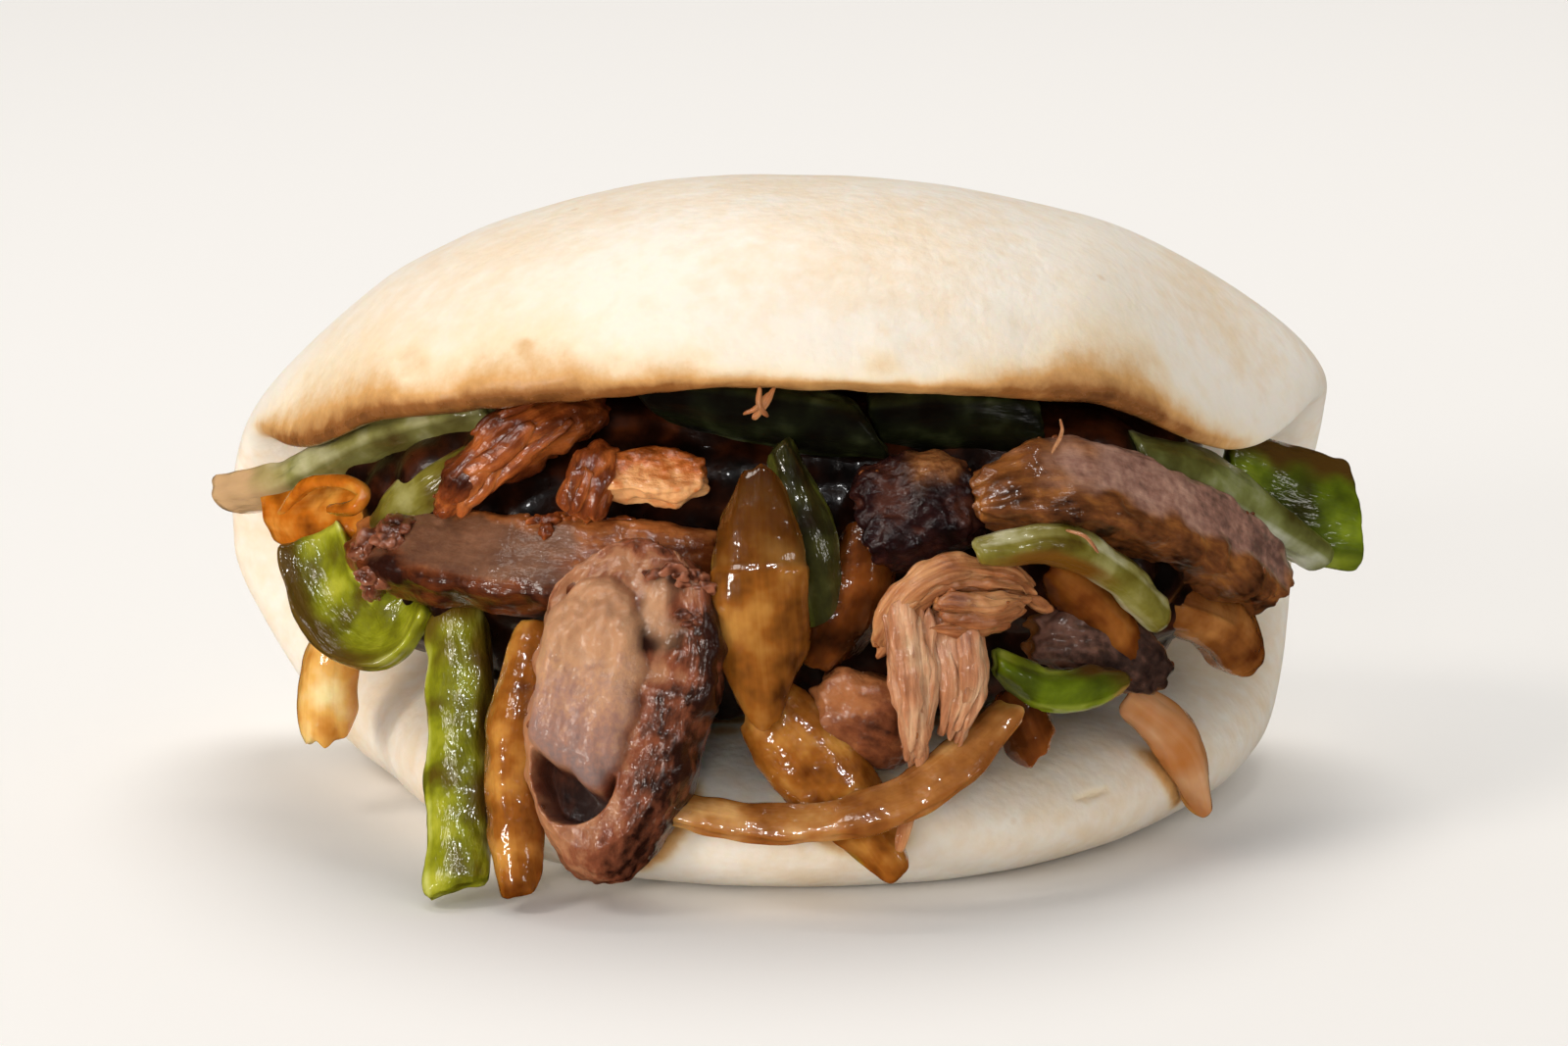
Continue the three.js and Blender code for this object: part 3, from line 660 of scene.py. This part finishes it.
onions = [
    {"node": "onion_long_curl", "look": "golden", "width": 5, "thickness": 1.8, "cup": 0.2, "round": 8,
     "ends": 8, "faces": (0, -0.55, 0.85), "twist": (0, 0), "profile": [(-1, 0.85), (0.5, 1.1), (1, 0.75)],
     "route": [(-12.5, -40.5, 11.2), (0, -43, 9.8), (10, -44, 11.6), (17, -42.5, 15), (24, -37, 20.3)]},
    {"node": "onion_front_left", "look": "amber", "width": 6, "faces": (-0.3, -1, 0.4),
     "route": [(-25, -31, 27.5), (-26.8, -37, 16), (-25.6, -43, 2)]},
    {"node": "onion_lower_middle", "look": "amber", "width": 9, "faces": (0, -1, 0.5), "profile": tailProfile,
     "route": [(-2, -37, 21), (5.5, -41, 14.2), (13.2, -43, 5)]},
    {"node": "onion_petal", "look": "petal", "width": 10, "ends": 3, "faces": (0, -1, 0.2),
     "profile": petalProfile, "windows": [((-2, -0.22), full, full)],
     "route": [(-2, -35, 45), (-1.5, -39, 33), (-0.5, -40, 19)]},
    {"node": "onion_middle_right", "look": "dark", "width": 7, "faces": (0.3, -1, 0.1),
     "route": [(9.5, -32, 38.5), (8.5, -35, 30.5), (4.5, -36, 24)]},
    {"node": "onion_right_hanging", "look": "tan", "width": 5.2, "faces": (0.4, -1, 0.3),
     "profile": tailProfile, "route": [(36, -21.5, 17.5), (42, -19.5, 11.5), (44.7, -17, 3.5)]},
    {"node": "onion_lower_right", "look": "dark", "width": 5.5, "faces": (0, -1, 0.3),
     "route": [(24, -34, 21.5), (27, -34, 14)]},
    {"node": "onion_behind_pepper", "look": "deep", "width": 6, "faces": (0.3, -1, 0.3),
     "route": [(28, -29.5, 33), (34, -26.5, 26.5), (36.5, -24.5, 20)]},
    {"node": "onion_right_end", "look": "caramel", "width": 7, "thickness": 4.2, "cup": 0.9, "uneven": 0.2,
     "windows": [((-2, 0.15), (-2, 0.05), full)], "stray": 0.1, "faces": (0.5, -1, 0.3),
     "route": [(39, -16.5, 27), (45.5, -11, 22.5), (49.5, -6, 17)]},
    {"node": "onion_left_hanging", "look": "pale", "width": 7, "faces": (-0.6, -1, 0.3), "fray": 1.4,
     "route": [(-45, -7.5, 24.5), (-47.5, -9, 17), (-48, -9.5, 8.5)]},
    {"node": "onion_left_top", "look": "orange", "width": 9, "faces": (-0.5, -1, 0.3),
     "route": [(-54, -1.5, 31), (-47, -8, 32.5), (-39.5, -14.5, 35.5)]},
]
meats = [
    {"node": "meat_long_slice", "look": "slice", "width": 9.5, "faces": (0.3, -0.9, 0.5),
     "round": 5, "lumps": 0.3, "fibres": 0.1, "windows": [((-0.72, 0.35), (-0.78, 0.6), (0.45, 2))],
     "route": [(-43.5, -14, 31.2), (-28.5, -27, 32.4), (-13, -31.5, 33.4), (-5, -31, 33.4)]},
    {"node": "meat_right_slab", "look": "slab", "width": 10, "thickness": 7.5, "faces": (-0.2, -0.8, 0.6),
     "round": 6, "lumps": 0.8, "fibres": 0.16, "proud": 0.35, "soft": 0.16, "stray": 0.28,
     "windows": [((-0.6, 0.97), (-2, 0.3), (-0.2, 2))],
     "route": [(20, -32, 40.5), (30.5, -27, 40.5), (41.5, -17, 34), (52, -5, 24.5)]},
    {"node": "meat_dark_chunk", "look": "charred", "width": 11.5, "thickness": 9, "faces": (-0.2, -0.9, 0.4),
     "lumps": 1, "fibres": 0.1, "grit": 0.24, "soft": 0.25, "windows": [((0, 0.8), (-2, -0.3), (-0.3, 2))],
     "route": [(8.5, -30.5, 37.5), (20.5, -29, 39.8)]},
    {"node": "meat_small_chunk", "look": "chunk", "width": 9, "thickness": 7, "faces": (0, -1, 0.2),
     "round": 4, "lumps": 0.7, "fibres": 0.04, "route": [(4, -35, 20.5), (14, -36, 17)]},
    {"node": "meat_lower_right", "look": "dusky", "width": 7, "thickness": 5, "faces": (0.2, -1, 0.4),
     "lumps": 0.5, "fibres": 0.4, "windows": [(full, full, (0.4, 2))],
     "route": [(25.5, -28.5, 25), (33, -25, 24), (39.5, -20.5, 19)]},
    {"node": "meat_upper_left", "look": "glazed", "width": 8, "thickness": 5.5, "ends": 2.6,
     "faces": (-0.2, -1, 0.5), "lumps": 1.1, "fibres": 0.3, "strands": 5,
     "profile": [(-1, 1), (-0.1, 0.85), (0.4, 0.6), (1, 0.5)],
     "route": [(-18, -21.5, 48), (-26, -25.5, 45.5), (-34.5, -25, 37)]},
    {"node": "meat_pale_flake", "look": "flake", "width": 5.4, "thickness": 3, "faces": (0, -0.7, 0.8),
     "round": 9, "ends": 9, "edgeWave": 0.8, "fray": 1, "lumps": 0.3, "fibres": 0.03, "grit": 0.24,
     "profile": [(-1, 0.9), (0.4, 1), (1, 0.55)], "route": [(-17.5, -30.5, 42.5), (-7, -31, 42.5)]},
    {"node": "meat_small_shred", "look": "glazed", "width": 5, "thickness": 4, "ends": 2.6,
     "faces": (-0.2, -1, 0.3), "lumps": 0.5, "fibres": 0.35, "strands": 5,
     "route": [(-17, -29, 45), (-18.5, -31.5, 41.5), (-19.5, -32, 38)]},
]
strandForm = {
    **meatForm, "thickness": 1.3, "round": 2.3, "ends": 3, "uneven": 0.25, "edgeWave": 0.2, "fray": 0.6,
    "widths": (1, 2.6), "turn": (25, 155), "startsBy": 0.55, "share": (0.3, 0.6), "wander": 0.35,
    "inset": (0.3, 0.1), "lumps": 0.2, "fibres": 0.12,
}
seedStep = 0.61    # between the fibres of one piece


def addStrands(bm, piece, seed):    # loose fibres that lie along the front of a piece
    chance = random.Random(seed)
    at = routeThrough(piece["route"])[0]
    aside, ahead = (piece[key] / 2 - i for key, i in zip(("width", "thickness"), strandForm["inset"]))
    for number in range(piece["strands"]):
        turn = math.radians(chance.uniform(*strandForm["turn"]))
        start = chance.uniform(0, strandForm["startsBy"])
        stretch = min(chance.uniform(*strandForm["share"]), 1 - start)
        route = []
        for share in (0, 0.5, 1):
            spot, heading = at(start + stretch * share)
            side = heading.cross(Vector(piece["faces"])).normalized()
            front = side.cross(heading)
            wander = turn + chance.uniform(-strandForm["wander"], strandForm["wander"])
            route.append(spot + side * math.cos(wander) * aside + front * math.sin(wander) * ahead)
        strand = {"route": route, "width": chance.uniform(*strandForm["widths"]), "faces": piece["faces"]}
        fibre = bentBar(strand, strandForm, number * seedStep + seed)
        raiseRelief(fibre, meatHeight(strandForm["lumps"], strandForm["fibres"]))
        joinInto(bm, fibre)


fillingPoints = []    # where sauce can reach the dough from
meatSpots = []    # places on the meat, with their normals
sampleEvery = 7    # one point in so many is kept for these
doughClearance = 0.1    # millimetres


def settle(bm, name, material, slot, node):
    keepOut(bm, bunTree, doughClearance)
    bm.normal_update()
    sample = list(bm.verts)[::sampleEvery]
    fillingPoints.extend(v.co.copy() for v in sample)
    if slot == "braised_meat":
        meatSpots.extend((v.co.copy(), v.normal.copy()) for v in sample)
    finishPiece(bm, name, material, slot, node)


for pieces, form, seedBy, height, skins, slot, prefix in (
        (peppers, pepperForm, 0.37, pepperHeight, pepperSkins, "green_pepper", "fried_"),
        (onions, onionForm, 0.41, onionHeight, onionSkins, "fried_onion", "fried_"),
        (meats, meatForm, 0.43, None, meatSkins, "braised_meat", "braised_")):
    for seed, piece in enumerate(pieces, 1):
        bm = bentBar(piece, form, seed * seedBy)
        values = {**form, **piece}
        raiseRelief(bm, height or meatHeight(*(values[key] for key in ("lumps", "fibres", "grit", "proud"))))
        if "strands" in piece:
            addStrands(bm, piece, seed)
        settle(bm, prefix + piece["node"], skins[piece["look"]], slot, piece["node"])
print("strips:", len(peppers) + len(onions) + len(meats))


# the rolled slice at the front, cut across so that its pale inside shows

meatRoll = {
    "width": 19.5, "thickness": 14, "round": 2.1, "ends": 2.8, "fray": 0.4,
    "profile": [(-1, 0.8), (-0.4, 1), (0.4, 0.95), (1, 0.62)],
    "faces": (-0.2, -1, 0.3), "route": [(-11.8, -35, 36.6), (-15.3, -37.5, 20), (-18, -41.5, 3)],
    # a pale patch high on the skin's right: partly pale sinew, partly a painted grey sheen
    "windows": [((-0.82, -0.5), (-0.4, 0.12), (0, 2))],
    "lumps": (1.05, 0.2), "lumpsEnd": (-0.35, 0.3), "fibres": 0.1,    # lumpy at the top, smooth below
    "cutPoint": (-18, -40, 22), "cutNormal": (-0.25, -0.9, 0.37), "cutSoft": (-0.4, 0.6),
    "tongue": {    # the cut face, as degrees and millimetres from its middle
        "middle": (-0.8, 1), "raise": 2.2, "edge": (0.92, 1.04), "wetFrom": (2, 10),
        "outline": [
            (-180, 5.9), (-164, 6.1), (-148, 7), (-132, 8), (-100, 8.5), (-77, 10.6), (-68, 9.2), (-41, 6.3),
            (1, 5.4), (34, 6.6), (59, 8.9), (72, 10.6), (83, 11.3), (98, 11), (117, 9.2), (151, 6.4),
            (180, 5.9),
        ],
    },
    "hollow": {"middle": (-1.6, -8), "half": (4.6, 4.9), "depth": 6},
}


def makeRoll(look):
    bm = bentBar(look, meatForm, 0.77)
    bare, relief = layersOf(bm)[2:]
    normal = Vector(look["cutNormal"]).normalized()
    up = (Vector((0, 0, 1)) - normal * normal.z).normalized()
    right = up.cross(normal)
    onCut = {}
    for v in bm.verts:
        spot = v.co / mm - Vector(look["cutPoint"])
        depth = spot.dot(normal)
        if depth > look["cutSoft"][0]:
            v.co -= normal * max(depth, 0) * mm
            onCut[v] = (spot.dot(right), spot.dot(up), smooth(depth, *look["cutSoft"]))

    def rollHeight(grain, section, bare):
        lumps = mixed(*look["lumps"], smooth(section.x, *look["lumpsEnd"]))
        return meatHeight(lumps, look["fibres"])(grain, section, bare)

    raiseRelief(bm, rollHeight)
    tongue, hollow = look["tongue"], look["hollow"]
    for v, (p, q, share) in onCut.items():
        aside, lift = p - tongue["middle"][0], q - tongue["middle"][1]
        edge = profileAt(tongue["outline"], math.degrees(math.atan2(lift, aside)))
        edge += 0.12 * ripple((p, q, 0), 2.5, 2.6)
        reach = math.hypot(aside, lift) / edge    # 1 along the tongue's outline
        inside = (1 - smooth(reach, *tongue["edge"])) * share
        bowl = sum(((c - m) / h) ** 2 for c, m, h in zip((p, q), hollow["middle"], hollow["half"]))
        under = smooth(reach, 1, 1.1) * (1 - smooth(bowl, 0.7, 1.1)) * share
        lump = mixed(0.15, 0.5, smooth(q, -6, 4)) * ripple((p, q, 0), 2.2, 5.5) * (1 - inside) * (1 - under)
        wet = smooth(q, *tongue["wetFrom"]) * inside    # sauce beads on the upper part of the face
        dome = tongue["raise"] * share * max(0, 1 - reach ** 4) ** 0.5
        dome += 0.45 * wet * ripple((p, q, 0), 1.1, 3.9)
        v.co += normal * (dome - hollow["depth"] * under + lump) * mm
        v[bare] = max(inside - 0.25 * wet, 0.2 * under, v[bare])
        # painted shade: the hollow takes the lowest relief, so the material paints it dark as well
        v[relief] = mixed(v[relief], -1, under)
    return bm


settle(makeRoll(meatRoll), "braised_meat_roll", meatSkins["roll"], "braised_meat", "meat_roll")
print("rolled slice done")


# pulled shreds, each a bundle of fibres

shreds = [
    {"node": "meat_shred_hanging", "look": "stringy", "faces": (0, -1, 0.2), "bundles": [
        {"width": 7, "thickness": 4.5, "count": 12, "gather": (1, 0.3),
         "route": [(13.4, -36.8, 32.5), (14.4, -41, 23), (14.3, -41.5, 13.8)]},
        {"width": 6, "thickness": 4, "count": 9, "gather": (1, 0.55),
         "route": [(18.2, -36.4, 31.6), (19.3, -40.3, 24), (18.2, -40.9, 17.8)]}]},
    {"node": "meat_shred_upper", "look": "russet", "faces": (0, -0.8, 0.6), "bundles": [
        {"width": 5.4, "thickness": 4.5, "count": 9, "gather": (0.8, 0.8),
         "route": [(10.2, -37, 26.6), (12.8, -37.8, 31), (17.4, -36.8, 33.6), (23, -34.5, 33),
                   (27.2, -32, 30.4)]},
        {"width": 6.4, "thickness": 4.4, "count": 8, "gather": (0.8, 0.45),
         "route": [(16, -38.8, 30.6), (21, -38, 30.4), (26, -34.5, 30.4)]}]},
]
fibreForm = {
    **meatForm, "thickness": 2, "round": 3, "ends": 4, "uneven": 0.2, "edgeWave": 0.35, "stepMm": 0.22,
    "profile": [(-1, 0.9), (0, 1), (1, 0.4)],
    "widths": (1.2, 3.2), "wander": 0.35, "inset": (0.9, 0.7), "startsBy": 0.25, "endsBy": 0.6,
}
goldenTurn = 2.4    # radians, spreads the fibres evenly over a bundle's section


def shredHeight(grain, section, bare):  # fine fibres side by side, with a few deeper splits
    warp = 0.7 * ripple(grain, 5, 1.3)
    fine = ridge((grain.x / 14, grain.y + warp, grain.z), 0.55)
    splits = ridge((grain.x / 9, grain.y + warp, grain.z), 1.9, 3.7)
    lumps = 0.35 * ripple(grain, 3) + 0.2 * ripple(grain, 1.3, 2.9)
    return 0.1 * fine - 0.5 * max(splits - 0.6, 0) + lumps


def makeBundle(look, faces, seed):
    chance = random.Random(seed)
    bundle = bmesh.new()
    knots = [Vector(p) for p in look["route"]]
    side = (knots[-1] - knots[0]).cross(Vector(faces)).normalized()
    front = side.cross(knots[-1] - knots[0]).normalized()
    aside, ahead = (look[key] / 2 - i for key, i in zip(("width", "thickness"), fibreForm["inset"]))
    for number in range(look["count"]):
        turn = number * goldenTurn
        reach = math.sqrt((number + 0.5) / look["count"])
        offset = side * math.cos(turn) * reach * aside + front * math.sin(turn) * reach * ahead
        route = []
        for place, knot in enumerate(knots):
            gather = mixed(*look["gather"], place / (len(knots) - 1))
            wander = Vector([chance.uniform(-fibreForm["wander"], fibreForm["wander"]) for axis in "xyz"])
            route.append(knot + offset * gather + wander)
        route[0] = route[0].lerp(route[1], chance.uniform(0, fibreForm["startsBy"]))
        route[-1] = route[-1].lerp(route[-2], chance.uniform(0, fibreForm["endsBy"]))
        strand = {"route": route, "width": chance.uniform(*fibreForm["widths"]), "faces": faces}
        bm = bentBar(strand, fibreForm, number * seedStep + seed)
        raiseRelief(bm, shredHeight)
        joinInto(bundle, bm)
    return bundle


for seed, look in enumerate(shreds, 3):
    whole = bmesh.new()
    for number, bundle in enumerate(look["bundles"]):
        joinInto(whole, makeBundle(bundle, look["faces"], seed + 10 * number))
    settle(whole, "braised_" + look["node"], meatSkins[look["look"]], "braised_meat", look["node"])
print("shreds done")


# the sauced bed under the strips

bed = {
    "halfSize": (46.5, 25, 20), "centre": (1, -4, 32), "cuts": 70, "lumpMm": 7, "lumpHeight": 1.8,
    "boxiness": 0.2,
}


def makeBed():
    bm = cutBar([bed["cuts"]] * 3)
    for v in bm.verts:
        ball = v.co.normalized()
        boxy = ball * (1 - bed["boxiness"]) + v.co * bed["boxiness"]
        spot = Vector([b * h for b, h in zip(boxy, bed["halfSize"])])
        lump = 0.6 - noise.voronoi(spot / bed["lumpMm"])[0][0]
        spot += ball * lump * bed["lumpHeight"] * 2
        v.co = (spot + Vector(bed["centre"])) * mm
    return bm


settle(makeBed(), "sauced_filling_bed", glazeAndGapShadeSkin, "sauced_filling", "filling_bed")
print("bed done")


# stray fibres, a thin onion ring, crumbs and beads of sauce, too small for solids of their own

strays = [
    {"width": 0.7, "route": [(-0.1, -33.5, 52.3), (-1, -35, 51), (-2.3, -35.6, 49.4)]},
    {"width": 0.6, "route": [(-1.5, -33.5, 52.6), (-1.5, -35.2, 51), (-0.6, -35.2, 49.8)]},
    {"width": 0.5, "route": [(-0.6, -33.8, 52), (-1.9, -35.4, 50.8), (-3.2, -35.4, 50.2)]},
    {"width": 1.3, "route": [(14.4, -41.5, 13.5), (13.2, -44, 9.6), (12.7, -44.4, 7.2)]},
    {"width": 0.35, "pale": True, "route": [(27.9, -32, 45.5), (28.8, -33.5, 48), (28.6, -34, 49.6)]},
    {"width": 0.4, "pale": True, "route": [(29.3, -36.5, 38.6), (31.2, -37.5, 38.2), (32.6, -37, 36.3)]},
]
strayForm = {**strandForm, "thickness": 0.45, "stepMm": 0.2, "uneven": 0.3, "edgeWave": 0.1}
tuft = bmesh.new()
for number, stray in enumerate(strays):
    windows = [(full, full, full)] if "pale" in stray else []
    joinInto(tuft, bentBar({**stray, "faces": (0, -1, 0.2), "windows": windows}, strayForm, number * 0.7))
finishPiece(tuft, "stray_fibres", meatSkins["russet"], "braised_meat")
print("stray fibres:", len(strays))

onionRing = {
    "width": 1.2, "thickness": 0.8, "cup": 0.2, "faces": (-0.4, -1, 0.5), "stepMm": 0.2,
    "route": [(-52, -7, 32.6), (-49, -10.5, 36.4), (-45.1, -14.5, 38), (-42.6, -17, 37.4),
              (-43.6, -17.4, 35.8), (-46.6, -14.8, 35)],
}
ring = bentBar(onionRing, onionForm, 2.9)
raiseRelief(ring, onionHeight)
finishPiece(ring, "onion_ring_left", onionSkins["orange"], "fried_onion")

crumbs = [
    {"look": "crumb", "middle": (-40.3, -19.5, 32), "spread": (2.8, 1, 2.8), "size": (2.6, 4.6), "count": 11},
    {"look": "glazed", "middle": (-20, -30, 37.5), "spread": (4.5, 1, 0.6), "size": (1, 2.4), "count": 9},
    {"look": "crumb", "middle": (-8.5, -38.5, 33), "spread": (2.5, 2, 3.5), "size": (1, 2.2), "count": 12},
]
crumbForm = {
    "seed": 9, "stretch": ((0.8, 1.7), (0.6, 1), (0.5, 1)), "fineMm": 0.5, "fineShare": 0.45, "rough": 0.55,
}


def treeOf(points):    # finds the nearest of many points
    tree = KDTree(len(points))
    for number, point in enumerate(points):
        tree.insert(point, number)
    tree.balance()
    return tree


meatTree = treeOf([spot for spot, normal in meatSpots])


def makeCrumbs(heap, chance):    # rough little lumps that stick to the meat round a place
    whole = bmesh.new()
    for number in range(heap["count"]):
        aim = Vector([m + s * chance.uniform(-1, 1) for m, s in zip(heap["middle"], heap["spread"])])
        spot = meatTree.find(aim * mm)[0]
        size = chance.uniform(*heap["size"])
        stretch = [chance.uniform(*share) for share in crumbForm["stretch"]]
        bm = bmesh.new()
        bmesh.ops.create_icosphere(bm, subdivisions=4, radius=size / 2)
        bmesh.ops.scale(bm, vec=stretch, verts=bm.verts)
        layers = layersOf(bm)
        grain, relief = layers[0], layers[3]
        for v in bm.verts:
            v[grain] = spot / mm + v.co
            fine = crumbForm["fineShare"] * ripple(v[grain], crumbForm["fineMm"], 1.9)
            v[relief] = ripple(v[grain], 0.5 * size) + fine
            v.co = spot + v.co * (1 + crumbForm["rough"] * v[relief]) * mm
        joinInto(whole, bm)
    return whole


chance = random.Random(crumbForm["seed"])
for number, heap in enumerate(crumbs):
    finishPiece(makeCrumbs(heap, chance), "meat_crumbs_%d" % number, meatSkins[heap["look"]], "braised_meat")
print("crumbs:", sum(heap["count"] for heap in crumbs))

beads = {
    "seed": 5, "count": 520, "size": (0.12, 0.42), "flat": 0.6,
    "clusterMm": 5, "clusterAbove": 0.12, "facesBack": 0.2,    # none between the clusters or behind
}


def makeBeads():
    chance = random.Random(beads["seed"])
    whole = bmesh.new()
    made = 0
    while made < beads["count"]:
        spot, normal = chance.choice(meatSpots)
        size = chance.uniform(*beads["size"])
        clustered = ripple(spot / mm, beads["clusterMm"], 7.7) > beads["clusterAbove"]
        if clustered and normal.y < beads["facesBack"]:
            drop = bmesh.new()
            bmesh.ops.create_icosphere(drop, subdivisions=2, radius=size * mm)
            bmesh.ops.scale(drop, vec=(1, 1, beads["flat"]), verts=drop.verts)
            bmesh.ops.rotate(drop, matrix=normal.to_track_quat("Z", "Y").to_matrix(), verts=drop.verts)
            bmesh.ops.translate(drop, vec=spot, verts=drop.verts)
            joinInto(whole, drop)
            made += 1
    return whole


finishPiece(makeBeads(), "sauce_beads", syrupSkin, "sauced_filling")
print("beads:", beads["count"])


# the bun takes up sauce where the filling touches it

soak = {"reachMm": (0.3, 2.8), "strength": 0.48}
fillingTree = treeOf(fillingPoints)
sauceLayer = bunMesh.verts.layers.float["sauce"]
for v in bunMesh.verts:
    distance = fillingTree.find(v.co)[2] / mm
    touch = (1 - smooth(distance, *soak["reachMm"])) * soak["strength"]
    v[sauceLayer] = max(v[sauceLayer], touch)
finishPiece(bunMesh, "steamed_bun", doughSkin, "steamed_dough", "bun")
print("bun soaked")


# floor, light and camera

studio = {
    "floor": "fbfaf8", "floorSize": 6, "world": 0.4, "lightAim": (0, 0, 0.03),
    "lights": [    # name, place in metres, size, watts, colour
        ("key", (-0.58, -0.36, 0.76), 0.3, 1.6, "fff5ea"),
        ("left", (-0.8, -0.62, 0.2), 0.22, 3.2, "fff8f0"),
        ("right", (0.75, -0.72, 0.3), 0.2, 0.55, "fffaf4"),
        ("low fill", (-0.62, -0.8, 0.04), 0.3, 1.7, "fffaf4"),
        ("front fill", (-0.1, -1, 0.33), 0.3, 1.2, "fffaf4"),
        ("back", (0.05, 0.4, 0.9), 0.6, 4.3, "fffaf4"),
        ("glint left", (-0.2, -0.55, 0.6), 0.08, 0.8, "ffffff"),
        ("glint right", (0.3, -0.5, 0.62), 0.08, 0.9, "ffffff"),
        ("glint top", (-0.32, -0.4, 0.75), 0.06, 0.7, "ffffff"),
    ],
    "aim": (0.5, -6, 31.5), "eyeAim": (13.9, 0, 33.4), "eyeDistance": 867, "elevation": 14, "lens": 190,
}

floorMesh = bmesh.new()
bmesh.ops.create_grid(floorMesh, x_segments=1, y_segments=1, size=studio["floorSize"] / 2)
floorData = bpy.data.meshes.new("floor")
floorMesh.to_mesh(floorData)
floorMesh.free()
floorSkin = startSkin("matt paper floor", {})[0]
finishSkin(floorSkin, {"Base Color": linear(studio["floor"]), "Roughness": 0.9})
floorData.materials.append(floorSkin)
floor = bpy.data.objects.new("floor", floorData)
scene.collection.objects.link(floor)
floor.visible_glossy = False    # else the wet pieces turn milky

for name, place, size, watts, colour in studio["lights"]:
    lamp = bpy.data.lights.new(name, "AREA")
    lamp.shape = "DISK"
    lamp.size = size
    lamp.energy = watts
    lamp.color = linear(colour)[:3]
    holder = bpy.data.objects.new(name, lamp)
    holder.location = place
    holder.rotation_euler = (Vector(studio["lightAim"]) - Vector(place)).to_track_quat("-Z", "Y").to_euler()
    holder.visible_camera = False
    holder.visible_glossy = not name.endswith("fill")    # a fill lifts the shade and leaves no glints
    holder.visible_diffuse = not name.startswith("glint")    # a glint lamp shows on wet skin alone
    scene.collection.objects.link(holder)

world = bpy.data.worlds.new("studio")
world.use_nodes = True
background = world.node_tree.nodes["Background"]
background.inputs["Color"].default_value = (1, 1, 1, 1)
background.inputs["Strength"].default_value = studio["world"]
world.cycles_visibility.glossy = False    # wet pieces mirror the lamps and each other, not a white room
scene.world = world
scene.view_settings.view_transform = "Standard"

tilt = math.radians(studio["elevation"])
eye = (Vector(studio["eyeAim"]) + Vector((0, -math.cos(tilt), math.sin(tilt))) * studio["eyeDistance"]) * mm
cameraData = bpy.data.cameras.new("camera")
cameraData.lens = studio["lens"]
camera = bpy.data.objects.new("camera", cameraData)
camera.location = eye
camera.rotation_euler = (Vector(studio["aim"]) * mm - eye).to_track_quat("-Z", "Y").to_euler()
scene.collection.objects.link(camera)
scene.camera = camera
